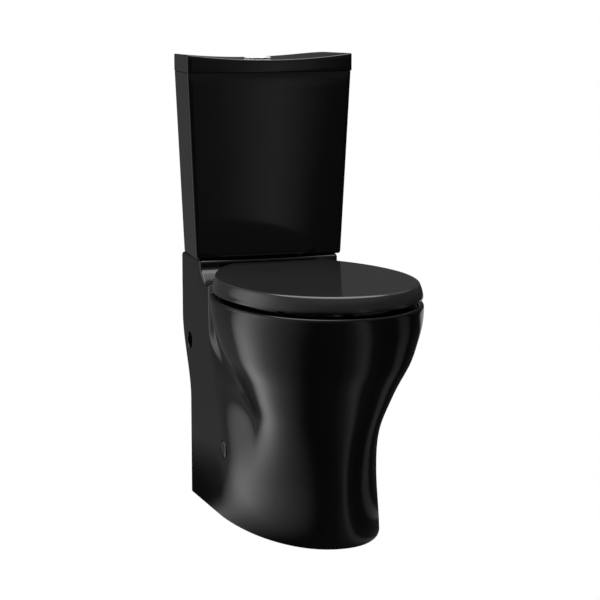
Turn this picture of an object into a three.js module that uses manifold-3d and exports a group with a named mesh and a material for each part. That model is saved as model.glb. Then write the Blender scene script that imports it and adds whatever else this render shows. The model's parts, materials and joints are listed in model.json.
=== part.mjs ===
// Close coupled toilet with a skirted pan, dual flush tank and wrap-over seat.
// Millimetres, +Z up, the front faces -Y, origin at the bottom centre of the bounding box.
import * as THREE from 'three';
import { mergeVertices } from 'three/addons/utils/BufferGeometryUtils.js';
import Module from 'manifold-3d';

const wasm = await Module();
wasm.setup();

// ---------------------------------------------------------------- driving dimensions
const GAP = 0.3;                 // clearance between pieces that touch

const FRONT_Y = -321.5;          // tip of the seat lid
const WALL_Y = 321.5;            // plane of the wall behind
const CHINA = 11;                // wall thickness of the casting

const RIM_Z = 422.8;             // top of the rim and of the deck behind it
const RIM_HALF = 181.5;
const RIM_TIP = -314.5;
const FLOOR_HALF = 138.3;
const FLOOR_TIP = -230.5;
const DECK_UNDER_Z = 408;
const PANEL_HALF = 137.5;        // flat side panels of the skirt
const SKIRT_REAR_Y = 244.5;      // rear edge of the skirt near the floor
const UPPER_REAR_Y = 316;        // rear edge below the platform

const PLATFORM_Z = 462;
const PLATFORM_FRONT_Y = 170;
const VALVE_Y = 240;             // axis of the flush valve and of the buttons

const TANK_BASE_Z = PLATFORM_Z + GAP;
const TANK_TOP_Z = 810.7;
const TANK_BASE_HALF = 144.5;
const TANK_TOP_HALF = 161;
const TANK_WALL = 9;
const TANK_FLOOR = 11;
const TANK_BOW = 6;              // outward bow of the front face

const LID_HALF = 162;
const LID_Z = 844;               // corners of the tank lid
const LID_DIP = 10.5;            // how far its top sinks in the middle
const LID_FRONT_Y = 159.5;

const SEAT_HALF = 178.6;
const SEAT_LOW_Z = 431;
const SEAT_TOP_Z = 459;
const SEAT_CENTRE_Y = -85.4;
const SEAT_REAR_REACH = 263.7;   // where the rear half would close if it weren't cut straight
const SEAT_REAR_Y = 142;
const RING_LOW_Z = 429.3;
const RING_TOP_Z = 447;
const HINGE_Y = 127;
const HINGE_Z = 441;
const POST_X = 77;
const POST_HALF = 7;             // half width of a hinge post along the pin
const RING_KNUCKLE = [52.5, 69.5];
const LID_KNUCKLE = [35, 52];

const TANK_BOLT_X = 82;
const TANK_BOLT_Y = 212;
const FILL_X = -100;
const FILL_Y = 262;
const OUTLET_Z = 186;
const OUTLET_END_Y = 276;
const CAP_Y = 33;
const CAP_Z = 130;
const CAP_FACE_X = 132.6;        // floor of the shallow recess the cover sits in
const SEAM_Z = 400;              // the skirt ends here and the rim piece begins
const SEAM_Y = 150;              // the rim piece ends here and the tank platform begins
const ACCESS_Y = 243.5;
const ACCESS_Z = 298;

const SIDES = [['left', -1], ['right', 1]];

// ---------------------------------------------------------------- materials
const material = (colour, roughness, metalness = 0) =>
  new THREE.MeshStandardMaterial({ color: colour, roughness, metalness });
const glaze = material(0x141416, 0.12);
const seatPlastic = material(0x17171a, 0.2);
const chrome = material(0xd9dce0, 0.12, 1);
const steel = material(0x9a9da1, 0.4, 1);
const whitePlastic = material(0xe6e7e4, 0.5);
const greyPlastic = material(0x9aa0a5, 0.55);
const blackRubber = material(0x1b1b1c, 0.9);
const redRubber = material(0x7d2a24, 0.85);

// ---------------------------------------------------------------- shape helpers
const toSolid = (geometry) => {
  const bare = geometry.clone();
  bare.deleteAttribute('normal');
  bare.deleteAttribute('uv');
  const merged = mergeVertices(bare, 1e-4);
  return new wasm.Manifold(new wasm.Mesh({
    numProp: 3,
    vertProperties: new Float32Array(merged.attributes.position.array),
    triVerts: new Uint32Array(merged.index.array),
  }));
};

const toGeometry = (solid) => {
  const mesh = solid.getMesh();
  const geometry = new THREE.BufferGeometry();
  const points = new Float32Array(mesh.numVert * 3);
  for (let i = 0; i < mesh.numVert; i += 1) {
    for (let k = 0; k < 3; k += 1) points[3 * i + k] = mesh.vertProperties[mesh.numProp * i + k];
  }
  geometry.setAttribute('position', new THREE.BufferAttribute(points, 3));
  geometry.setIndex(new THREE.BufferAttribute(new Uint32Array(mesh.triVerts), 1));
  geometry.computeVertexNormals();
  return geometry;
};

const union = (...solids) => solids.reduce((sum, solid) => sum.add(solid));
const cut = (base, ...tools) => tools.reduce((rest, tool) => rest.subtract(tool), base);

const box = (x0, x1, y0, y1, z0, z1) => {
  const geometry = new THREE.BoxGeometry(x1 - x0, y1 - y0, z1 - z0);
  geometry.translate((x0 + x1) / 2, (y0 + y1) / 2, (z0 + z1) / 2);
  return toSolid(geometry);
};

// An upright cylinder or cone from z0 to z1.
const rod = (x, y, z0, z1, radius, sides = 18, topRadius = radius) => {
  const geometry = new THREE.CylinderGeometry(topRadius, radius, z1 - z0, sides);
  geometry.rotateX(Math.PI / 2);
  geometry.translate(x, y, (z0 + z1) / 2);
  return toSolid(geometry);
};

// A cylinder lying along X.
const crossRod = (x0, x1, y, z, radius, sides = 18) => {
  const geometry = new THREE.CylinderGeometry(radius, radius, x1 - x0, sides);
  geometry.rotateZ(Math.PI / 2);
  geometry.translate((x0 + x1) / 2, y, z);
  return toSolid(geometry);
};

// A turned shape: profile pairs are [radius, z], closed on itself for a ring.
const turned = (x, y, profile, sides = 28) => {
  const points = profile.map(([radius, z]) => new THREE.Vector2(radius, z));
  const geometry = new THREE.LatheGeometry(points, sides);
  geometry.rotateX(Math.PI / 2);
  geometry.translate(x, y, 0);
  const solid = toSolid(geometry);
  return solid.volume() < 0 ? solid.mirror([0, 0, 0]) : solid;
};

const ring = (x, y, z0, z1, outer, inner, sides = 20) =>
  cut(rod(x, y, z0, z1, outer, sides), rod(x, y, z0 - 1, z1 + 1, inner, sides));

// A closed solid whose every level is given by outline(turn, level) -> [x, y, z].
const loft = (levels, around, outline) => {
  const rows = levels.length - 1;
  const geometry = new THREE.CylinderGeometry(1, 1, 1, around, rows);
  const place = geometry.attributes.position;
  for (let i = 0; i < place.count; i += 1) {
    const x = place.getX(i);
    const z = place.getZ(i);
    const row = Math.round((place.getY(i) + 0.5) * rows);
    const centre = Math.hypot(x, z) < 0.5;
    const step = Math.round((Math.atan2(x, z) / (2 * Math.PI)) * around);
    const turn = (((step % around) + around) % around) / around;
    const [px, py, pz] = outline(turn, levels[row], centre);
    place.setXYZ(i, px, py, pz);
  }
  return toSolid(geometry);
};

// A round tube along a list of points in space.
const tube = (points, radius, segments = 28, sides = 18) => {
  const curve = new THREE.CatmullRomCurve3(points.map((p) => new THREE.Vector3(...p)));
  const circle = new THREE.Shape();
  for (let i = 0; i <= sides; i += 1) {
    const turn = (2 * Math.PI * i) / sides;
    const x = radius * Math.cos(turn);
    const y = radius * Math.sin(turn);
    if (i === 0) circle.moveTo(x, y);
    else circle.lineTo(x, y);
  }
  const geometry = new THREE.ExtrudeGeometry(circle, { steps: segments, extrudePath: curve });
  return toSolid(geometry);
};

const superPoint = (turn, halfX, halfY, power) => {
  const angle = 2 * Math.PI * turn;
  const c = Math.cos(angle);
  const s = Math.sin(angle);
  return [halfX * Math.sign(s) * Math.abs(s) ** (2 / power),
    -halfY * Math.sign(c) * Math.abs(c) ** (2 / power)];
};

const mix = (a, b, t) => a + (b - a) * t;
const smooth = (t) => { const k = Math.min(1, Math.max(0, t)); return k * k * (3 - 2 * k); };
const blendMax = (a, b, r) => Math.max(a, b) + (Math.max(r - Math.abs(a - b), 0) ** 2) / (4 * r);
const along = (table, z) => {
  if (z <= table[0][0]) return table[0][1];
  for (let i = 1; i < table.length; i += 1) {
    if (z <= table[i][0]) {
      return mix(table[i - 1][1], table[i][1], (z - table[i - 1][0]) / (table[i][0] - table[i - 1][0]));
    }
  }
  return table[table.length - 1][1];
};

const group = new THREE.Group();
group.name = 'close_coupled_toilet';
const add = (name, solid, finish) => {
  const mesh = new THREE.Mesh(toGeometry(solid.simplify(0.1)), finish);
  mesh.name = name;
  group.add(mesh);
};

// ---------------------------------------------------------------- the pan
// How far the pedestal has opened out from its foot (0) to the rim (1).
const FLARE = [[0, 0], [60, -0.05], [130, -0.075], [170, -0.05], [203, 0.02], [244, 0.22],
  [282, 0.47], [317, 0.72], [352, 0.87], [377, 0.96], [405, 1], [RIM_Z, 1]];
// Half width of the pedestal that stands out in front of the side panels.
const VASE_HALF = [[0, 110.5], [60, 107], [130, 106], [170, 107.5], [203, 112], [244, 125], [282, 142],
  [317, 160], [352, 171], [377, 177.5], [405, RIM_HALF], [RIM_Z, RIM_HALF]];
const SADDLE_HALF = 129;         // half width in the hollow between panel and bowl

// Half width of the pan at depth y and height z.
const panHalf = (y, z) => {
  const flare = along(FLARE, z);
  const tip = mix(FLOOR_TIP, RIM_TIP, flare);
  const foot = y > 79.8 ? FLOOR_HALF
    : FLOOR_HALF * Math.max(0, 1 - ((79.8 - y) / (79.8 - tip)) ** 2.16) ** (1 / 2.16);
  const middle = mix(-85, -74.7, flare);
  const wide = along(VASE_HALF, z);
  const reach = mix(150, 268, smooth((z - 240) / 180));
  const vase = y <= middle
    ? wide * Math.max(0, 1 - ((middle - y) / (middle - tip)) ** 2.2) ** (1 / 2.2)
    : wide * Math.max(0, 1 - ((y - middle) / reach) ** 1.84) ** (1 / 1.84);
  const crease = -blendMax(-122, -63 - 0.55 * (z - 197), 45);
  const turnIn = mix(crease - middle, 16, smooth((z - 215) / 125));
  const hollow = PANEL_HALF - Math.min(wide, SADDLE_HALF);
  const panel = y < middle ? 0 : PANEL_HALF - hollow * smooth((crease - y) / turnIn);
  const upper = y < middle + 1 ? vase : blendMax(vase, panel, 0.5 + 8 * smooth((y - middle) / 60));
  return mix(Math.min(foot, y > 79.8 ? PANEL_HALF : foot), upper, smooth((z - 60) / 150));
};

// Outline of the pan at height z, set in by `inset`.
const panOutline = (turn, z, inset) => {
  const flare = along(FLARE, z);
  const middle = mix(-85, -74.7, flare);
  const tip = mix(FLOOR_TIP, RIM_TIP, flare);
  const crease = -blendMax(-122, -63 - 0.55 * (z - 197), 45);
  const turnIn = mix(crease - middle, 16, smooth((z - 215) / 125));
  const saddle = Math.max(crease - turnIn - 8, middle + 20);
  const rear = mix(SKIRT_REAR_Y, UPPER_REAR_Y, smooth((z - 185) / 160));
  const corner = mix(8, 30, smooth((z - 185) / 160));
  const side = turn <= 0.5 ? 1 : -1;
  const s = turn <= 0.5 ? 2 * turn : 2 - 2 * turn;
  let x;
  let y;
  if (s <= 0.4) {
    const fore = Math.max(0, Math.cos((Math.PI / 2) * (s / 0.4))) ** (2 / 2.2);
    const wide = panHalf(middle, z);
    x = s === 0 ? 0 : panHalf(middle - (middle - tip) * fore, z) * (1 - inset / wide);
    y = middle - (middle - tip - inset) * fore;
  } else if (s <= 0.8) {
    if (s <= 0.58) y = mix(middle, saddle, (s - 0.4) / 0.18);
    else if (s <= 0.68) y = mix(saddle, crease + 4, (s - 0.58) / 0.1);
    else y = mix(crease + 4, rear - corner, (s - 0.68) / 0.12);
    const near = inset > 4 ? [panHalf(y - 12, z), panHalf(y + 12, z)] : [];
    x = Math.min(panHalf(y, z), ...near) - inset;
  } else if (s <= 0.9) {
    const angle = (Math.PI / 2) * ((s - 0.8) / 0.1);
    const small = Math.max(corner - inset, 1);
    x = PANEL_HALF - inset - small + small * Math.cos(angle);
    y = rear - inset - small + small * Math.sin(angle);
  } else {
    x = (PANEL_HALF - corner) * (1 - (s - 0.9) / 0.1);
    y = rear - inset;
  }
  return [side * x, y];
};

const PAN_LEVELS = [0, 50, 90, 130, 170, 203, 228, 254, 282, 306, 330, 352, 377, 400, 416, RIM_Z];

const rimRound = (z) => (z > 416 ? 4 : 0);

const panShell = loft(PAN_LEVELS, 76, (turn, z, centre) => {
  if (centre) return [0, 60, z];
  const [x, y] = panOutline(turn, z, rimRound(z));
  return [x, y, z];
});
const panHollow = loft([-1, 50, 90, 130, 170, 203, 228, 254, 282, 306, 330, 352, 380, DECK_UNDER_Z], 30, (turn, z, centre) => {
  if (centre) return [0, 60, z];
  const [x, y] = panOutline(turn, Math.max(z, 0), CHINA);
  return [x, y, z];
});

// Basin: levels are [z, half width, half length, centre y].
const BASIN = [[112, 30, 34, 8], [125, 42, 46, 6], [150, 52, 60, -2], [185, 62, 76, -14],
  [230, 80, 98, -34], [280, 103, 124, -58], [330, 122, 146, -79], [375, 133, 158, -92],
  [400, 136, 162, -97], [RIM_Z + 2, 136, 162, -99]];
const basin = (grow) => loft(BASIN, 28, (turn, level, centre) => {
  const [z, halfX, halfY, y0] = level;
  const drop = z < RIM_Z ? grow * 0.9 : 0;
  if (centre) return [0, y0, z - drop];
  const [x, y] = superPoint(turn, halfX + grow, halfY + grow, 2.15);
  return [x, y + y0, z - drop];
});

const TRAP = [[0, 12, 128], [0, 60, 104], [0, 112, 128], [0, 134, 190], [0, 152, 232], [0, 186, 226],
  [0, 214, 196], [0, 244, OUTLET_Z], [0, OUTLET_END_Y, OUTLET_Z]];
const trapOuter = tube(TRAP, 49, 13, 12);
const trapInner = tube([[0, -4, 140], ...TRAP.slice(1), [0, OUTLET_END_Y + 4, OUTLET_Z]], 38, 13, 12);

const platform = () => {
  const shape = new THREE.Shape();
  const low = RIM_Z - 12;
  const front = PLATFORM_FRONT_Y;
  shape.moveTo(UPPER_REAR_Y, low);
  shape.lineTo(front - 31, low);
  // From the level deck behind the hinges the china sweeps up in a hollow curve to the platform.
  for (const [back, up] of [[31, 0], [28, 0.5], [24, 2], [20, 4.5], [15, 8], [9, 12.6], [5.2, 15.7], [2.5, 18.6],
    [0.7, 21.6], [0, 25]]) shape.lineTo(front - back, RIM_Z + up);
  shape.lineTo(front, PLATFORM_Z - 7);
  shape.absarc(front + 7, PLATFORM_Z - 7, 7, Math.PI, Math.PI / 2, true);
  shape.lineTo(UPPER_REAR_Y, PLATFORM_Z);
  shape.closePath();
  const geometry = new THREE.ExtrudeGeometry(shape, { depth: 2 * PANEL_HALF, bevelEnabled: false,
    curveSegments: 5 });
  geometry.rotateX(Math.PI / 2);
  geometry.rotateZ(Math.PI / 2);
  geometry.translate(-PANEL_HALF, 0, 0);
  return toSolid(geometry);
};
const platformTrim = loft([RIM_Z - 20, RIM_Z, PLATFORM_Z + 1], 60, (turn, z, centre) => {
  if (centre) return [0, 60, z];
  const [x, y] = panOutline(turn, RIM_Z, 0);
  return [x, y, z];
});

const hornOuter = union(rod(0, VALVE_Y, 384, PLATFORM_Z - 6, 64, 24), box(-32, 32, 70, VALVE_Y, 384, 412));
const hornInner = union(
  rod(0, VALVE_Y, PLATFORM_Z - 32, PLATFORM_Z + 2, 52.5, 24),
  rod(0, VALVE_Y, 394, PLATFORM_Z - 31, 34, 24),
  box(-23, 23, 50, VALVE_Y, 394, 405),
);

// One casting, made here as four pieces that meet at fine seams: the skirt, the bowl with its rim,
// the platform for the tank and the trapway.
const below = box(-200, 200, -330, 330, -5, SEAM_Z);
const above = box(-200, 200, -330, 330, SEAM_Z + GAP, 480);
const largest = (solid) => solid.decompose().sort((a, b) => b.volume() - a.volume())[0];
const rearOpening = box(-100, 100, 225, 330, -2, PLATFORM_Z - 15);

let skirt = cut(panShell.intersect(below), panHollow, rearOpening);
let top = cut(union(panShell, platform().intersect(platformTrim)).intersect(above), panHollow,
  box(-PANEL_HALF + CHINA, PANEL_HALF - CHINA, 186, 304, 380, PLATFORM_Z - 15), rearOpening);
const shell = basin(CHINA).intersect(box(-200, 200, -330, 330, 60, RIM_Z));
top = cut(union(top, shell, hornOuter), basin(0), trapInner, hornInner, rod(FILL_X, FILL_Y, 440, 470, 20, 24));
for (const [, side] of SIDES) {
  const span = (p, q) => [Math.min(side * p, side * q), Math.max(side * p, side * q)];
  skirt = cut(skirt, crossRod(...span(120, 150), ACCESS_Y, ACCESS_Z, 16),
    crossRod(...span(CAP_FACE_X, 150), CAP_Y, CAP_Z, 16.6, 28),
    crossRod(...span(115, 150), CAP_Y, CAP_Z, 5.5, 16));
  top = cut(top, rod(side * POST_X, HINGE_Y, 400, 440, 7, 20),
    rod(side * TANK_BOLT_X, TANK_BOLT_Y, 440, 470, 5.5, 20));
}
add('pan_skirt', largest(skirt), glaze);
add('bowl', largest(top.intersect(box(-200, 200, -330, SEAM_Y, 60, 480))), glaze);
add('tank_platform', largest(top.intersect(box(-200, 200, SEAM_Y + GAP, 330, 60, 480))), glaze);
add('trapway', largest(cut(trapOuter, basin(CHINA + GAP), trapInner)), glaze);

// ---------------------------------------------------------------- the tank
// Plan outline of the tank and of its lid: square front corners, deep round rear corners.
const tankOutline = (turn, half, front, rear, bow, round) => {
  const side = turn <= 0.5 ? 1 : -1;
  const s = turn <= 0.5 ? 2 * turn : 2 - 2 * turn;
  const rearHalf = half - 9;
  const small = 7;
  if (s <= 0.3) {
    const x = (half - small) * (s / 0.3);
    return [side * x, front - bow * (1 - (x / half) ** 2)];
  }
  if (s <= 0.4) {
    const angle = (Math.PI / 2) * ((s - 0.3) / 0.1);
    return [side * (half - small + small * Math.sin(angle)), front + small - small * Math.cos(angle)];
  }
  if (s <= 0.6) {
    const t = (s - 0.4) / 0.2;
    return [side * mix(half, rearHalf, t), mix(front + small, rear - round, t)];
  }
  if (s <= 0.8) {
    const angle = (Math.PI / 2) * ((s - 0.6) / 0.2);
    return [side * (rearHalf - round + round * Math.cos(angle)), rear - round + round * Math.sin(angle)];
  }
  return [side * (rearHalf - round) * (1 - (s - 0.8) / 0.2), rear];
};

const tankSolid = (z0, z1, wall) => loft([z0, mix(z0, z1, 0.04), z1], 40, (turn, z, centre) => {
  if (centre) return [0, VALVE_Y, z];
  const t = (z - TANK_BASE_Z) / (TANK_TOP_Z - TANK_BASE_Z);
  const half = mix(TANK_BASE_HALF, TANK_TOP_HALF, t) - wall;
  const front = mix(PLATFORM_FRONT_Y + 1, LID_FRONT_Y + 3, t) + wall;
  const [x, y] = tankOutline(turn, half, front, WALL_Y - 3 - wall, TANK_BOW, 45 - wall);
  return [x, y, z];
});
let tank = cut(tankSolid(TANK_BASE_Z, TANK_TOP_Z, 0),
  tankSolid(TANK_BASE_Z + TANK_FLOOR, TANK_TOP_Z + 2, TANK_WALL),
  rod(0, VALVE_Y, 460, 480, 30, 28), rod(FILL_X, FILL_Y, 460, 480, 12, 24));
for (const [, side] of SIDES) tank = cut(tank, rod(side * TANK_BOLT_X, TANK_BOLT_Y, 460, 480, 5.5, 20));
add('tank', tank, glaze);

const lidTop = (x) => LID_Z - LID_DIP * (1 - Math.min(1, Math.abs(x) / LID_HALF) ** 2);
const lidBar = () => {
  const shape = new THREE.Shape();
  const reach = LID_HALF + 5;
  shape.moveTo(-reach, TANK_TOP_Z - 20);
  shape.lineTo(reach, TANK_TOP_Z - 20);
  for (let i = 0; i <= 24; i += 1) {
    const x = reach - (2 * reach * i) / 24;
    shape.lineTo(x, LID_Z - LID_DIP * (1 - (x / LID_HALF) ** 2));
  }
  shape.closePath();
  const geometry = new THREE.ExtrudeGeometry(shape, { depth: 200, bevelEnabled: false });
  geometry.rotateX(Math.PI / 2);
  geometry.translate(0, 345, 0);
  return toSolid(geometry);
};
const lidPlan = (z0, z1, inset) => loft([z0, z1], 56, (turn, z, centre) => {
  if (centre) return [0, VALVE_Y, z];
  const [x, y] = tankOutline(turn, LID_HALF - inset, LID_FRONT_Y + inset, WALL_Y - inset, TANK_BOW,
    50 - inset);
  return [x, y, z];
});
let tankLid = lidPlan(TANK_TOP_Z + GAP, LID_Z + 5, 0).intersect(lidBar());
tankLid = cut(tankLid, lidPlan(TANK_TOP_Z - 5, TANK_TOP_Z + 12, 13));
tankLid = union(tankLid, cut(lidPlan(TANK_TOP_Z - 6, TANK_TOP_Z + 14, 15), lidPlan(TANK_TOP_Z - 8,
  TANK_TOP_Z + 12, 22)));
tankLid = cut(tankLid, rod(0, VALVE_Y, 800, 850, 23.6, 28));
add('tank_lid', tankLid, glaze);

// ---------------------------------------------------------------- flush buttons
const BUTTON_TOP = 839;
add('button_bezel', cut(
  union(rod(0, VALVE_Y, LID_Z - LID_DIP + 0.6, 836.6, 25.5, 36), rod(0, VALVE_Y, 804, 835, 23.2, 28)),
  rod(0, VALVE_Y, 800, 842, 20.6, 28)), chrome);
add('button_nut', ring(0, VALVE_Y, 810, 822, 31, 23.6), whitePlastic);
const buttonBlank = turned(0, VALVE_Y, [[0, 822], [20, 822], [20, 836.4], [17, 838.2], [9, BUTTON_TOP - 0.2],
  [0, BUTTON_TOP]], 28);
add('full_flush_button', buttonBlank.intersect(box(-7.7, 30, 200, 280, 800, 850)), chrome);
add('half_flush_button', buttonBlank.intersect(box(-30, -8.3, 200, 280, 800, 850)), chrome);
add('full_push_rod', rod(8, VALVE_Y, 714, 821.7, 3, 14), whitePlastic);
add('half_push_rod', rod(-13, VALVE_Y, 714, 821.7, 3, 14), whitePlastic);

// ---------------------------------------------------------------- flush valve
const TANK_INSIDE_Z = TANK_BASE_Z + TANK_FLOOR;
let valve = union(ring(0, VALVE_Y, TANK_INSIDE_Z + GAP, 480, 46, 21), ring(0, VALVE_Y, 440, 478, 29.4, 21),
  rod(0, VALVE_Y, 690, 700, 44, 28));
for (let i = 0; i < 4; i += 1) {
  const turn = Math.PI / 4 + (i * Math.PI) / 2;
  valve = union(valve, rod(40 * Math.cos(turn), VALVE_Y + 40 * Math.sin(turn), 478, 692, 3.6, 8));
}
valve = cut(valve, rod(-24, VALVE_Y - 22, 680, 710, 4.2, 16));
add('flush_valve_body', valve, whitePlastic);
add('valve_canister', cut(union(rod(0, VALVE_Y, 484, 492, 33.5, 24), rod(0, VALVE_Y, 490, 640, 27, 24)),
  rod(0, VALVE_Y, 480, 645, 22, 24)), greyPlastic);
add('canister_seal', ring(0, VALVE_Y, 480.3, 483.7, 34, 23), redRubber);
add('flush_valve_nut', ring(0, VALVE_Y, 446, TANK_BASE_Z - GAP, 44, 29.8), whitePlastic);
add('tank_gasket', ring(0, VALVE_Y, PLATFORM_Z - 31.6, 445.7, 50, 31), blackRubber);

for (const [name, side] of SIDES) {
  const x = side * TANK_BOLT_X;
  add(`tank_bolt_washer_${name}`, ring(x, TANK_BOLT_Y, TANK_INSIDE_Z + GAP, TANK_INSIDE_Z + 4, 13, 4.5, 16),
    blackRubber);
  add(`tank_bolt_${name}`, union(rod(x, TANK_BOLT_Y, TANK_INSIDE_Z + 4.3, TANK_INSIDE_Z + 10, 9, 6),
    rod(x, TANK_BOLT_Y, 418, TANK_INSIDE_Z + 5, 4, 12)), steel);
  add(`tank_bolt_nut_${name}`, ring(x, TANK_BOLT_Y, 436, 446.6, 14, 4.5, 12), whitePlastic);
}

// ---------------------------------------------------------------- fill valve
add('fill_valve_body', cut(union(
  rod(FILL_X, FILL_Y, 418, 480, 10.3, 16),
  rod(FILL_X, FILL_Y, TANK_INSIDE_Z + 3.3, TANK_INSIDE_Z + 9, 16, 16),
  rod(FILL_X, FILL_Y, 478, 724, 9, 20)), rod(FILL_X, FILL_Y, 410, 700, 5.5, 16)), whitePlastic);
add('fill_valve_washer', ring(FILL_X, FILL_Y, TANK_INSIDE_Z + GAP, TANK_INSIDE_Z + 3, 16, 10.9, 16),
  blackRubber);
add('fill_valve_nut', ring(FILL_X, FILL_Y, 452, TANK_BASE_Z - GAP, 16.5, 10.8, 12), whitePlastic);
add('fill_valve_cap', union(cut(rod(FILL_X, FILL_Y, 712, 748, 20, 24, 18),
  rod(FILL_X, FILL_Y, 700, 724.3, 9.4, 20)), crossRod(FILL_X + 12, FILL_X + 30, FILL_Y - 8, 738, 3, 14)),
  greyPlastic);
add('float_cup', ring(FILL_X, FILL_Y, 566, 636, 25, 9.8, 28), greyPlastic);
add('refill_tube', cut(
  tube([[FILL_X + 31.2, FILL_Y - 8, 738], [FILL_X + 42, FILL_Y - 10, 738], [-36, VALVE_Y - 17, 738],
    [-25.5, VALVE_Y - 21, 726], [-24, VALVE_Y - 22, 700], [-24, VALVE_Y - 22, 684]], 3.5, 18, 8)),
  whitePlastic);

// ---------------------------------------------------------------- seat
const SEAT_REACH = SEAT_CENTRE_Y - FRONT_Y;
// Front half is a superellipse; the rear half draws in to a flat edge with round corners.
const seatPlan = (turn, inset, rearY, corner) => {
  const side = turn <= 0.5 ? 1 : -1;
  const s = turn <= 0.5 ? 2 * turn : 2 - 2 * turn;
  const rear = rearY - inset;
  if (s <= 0.5) {
    const angle = Math.PI * s;
    return [side * (SEAT_HALF - inset) * Math.sin(angle) ** (2 / 2.1),
      SEAT_CENTRE_Y - (SEAT_REACH - inset) * Math.cos(angle) ** (2 / 2.1)];
  }
  const halfAt = (y) => (SEAT_HALF - inset)
    * (1 - ((y - SEAT_CENTRE_Y) / SEAT_REAR_REACH) ** 1.84) ** (1 / 1.84);
  const cornerY = rear - corner;
  if (s <= 0.8) {
    const y = mix(SEAT_CENTRE_Y, cornerY, (s - 0.5) / 0.3);
    return [side * halfAt(y), y];
  }
  const wide = halfAt(cornerY);
  if (s <= 0.9) {
    const angle = (Math.PI / 2) * ((s - 0.8) / 0.1);
    const y = cornerY + corner * Math.sin(angle);
    return [side * Math.min(halfAt(y), wide - corner + corner * Math.cos(angle)), y];
  }
  return [side * Math.min(halfAt(rear), wide - corner) * (1 - (s - 0.9) / 0.1), rear];
};
const seatSlab = (levels, rearY, corner) => loft(levels, 56, (turn, [z, inset], centre) => {
  if (centre) return [0, SEAT_CENTRE_Y + 20, z];
  const [x, y] = seatPlan(turn, inset, rearY, corner);
  return [x, y, z];
});

const lidOuter = seatSlab([[SEAT_LOW_Z, 1.2], [SEAT_LOW_Z + 2, 0], [440, 0.6], [449, 2.2], [455, 4.6],
  [458, 7.2], [SEAT_TOP_Z, 10], [SEAT_TOP_Z + 0.8, 44]], SEAT_REAR_Y, 26);
const lidPocket = seatSlab([[SEAT_LOW_Z - 2, 5], [453.4, 5]], SEAT_REAR_Y, 24);
let seatLid = cut(lidOuter, lidPocket, box(-91, 91, 132, 150, 420, 453.4));
for (const [, side] of SIDES) {
  const x0 = Math.min(side * LID_KNUCKLE[0], side * LID_KNUCKLE[1]);
  const x1 = Math.max(side * LID_KNUCKLE[0], side * LID_KNUCKLE[1]);
  seatLid = union(seatLid, crossRod(x0, x1, HINGE_Y, HINGE_Z, 9),
    box(x0, x1, HINGE_Y - 8, HINGE_Y + 8, HINGE_Z, 455));
}
seatLid = cut(seatLid, crossRod(-110, 110, HINGE_Y, HINGE_Z, 4.5));
add('seat_lid', seatLid, seatPlastic);

const ringOuter = seatSlab([[RING_LOW_Z, 10.5], [RING_LOW_Z + 2, 9], [RING_TOP_Z - 5, 9],
  [RING_TOP_Z - 1.5, 10.5], [RING_TOP_Z, 14]], 117 + 9, 42);
const ringHole = loft([[RING_LOW_Z - 1, 0], [RING_TOP_Z - 4, 0], [RING_TOP_Z + 1, 4]], 40,
  (turn, [z, grow], centre) => {
    if (centre) return [0, -100, z];
    const [x, y] = superPoint(turn, 108 + grow, 142 + grow, 2.25);
    return [x, y - 100, z];
  });
let seatRing = cut(ringOuter, ringHole);
for (const [, side] of SIDES) {
  const x0 = Math.min(side * RING_KNUCKLE[0], side * RING_KNUCKLE[1]);
  const x1 = Math.max(side * RING_KNUCKLE[0], side * RING_KNUCKLE[1]);
  seatRing = union(seatRing, crossRod(x0, x1, HINGE_Y, HINGE_Z, 9),
    box(x0, x1, 100, HINGE_Y, HINGE_Z - 8, RING_TOP_Z - 1));
}
seatRing = cut(seatRing, crossRod(-110, 110, HINGE_Y, HINGE_Z, 4.5));
add('seat_ring', seatRing, seatPlastic);

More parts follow.
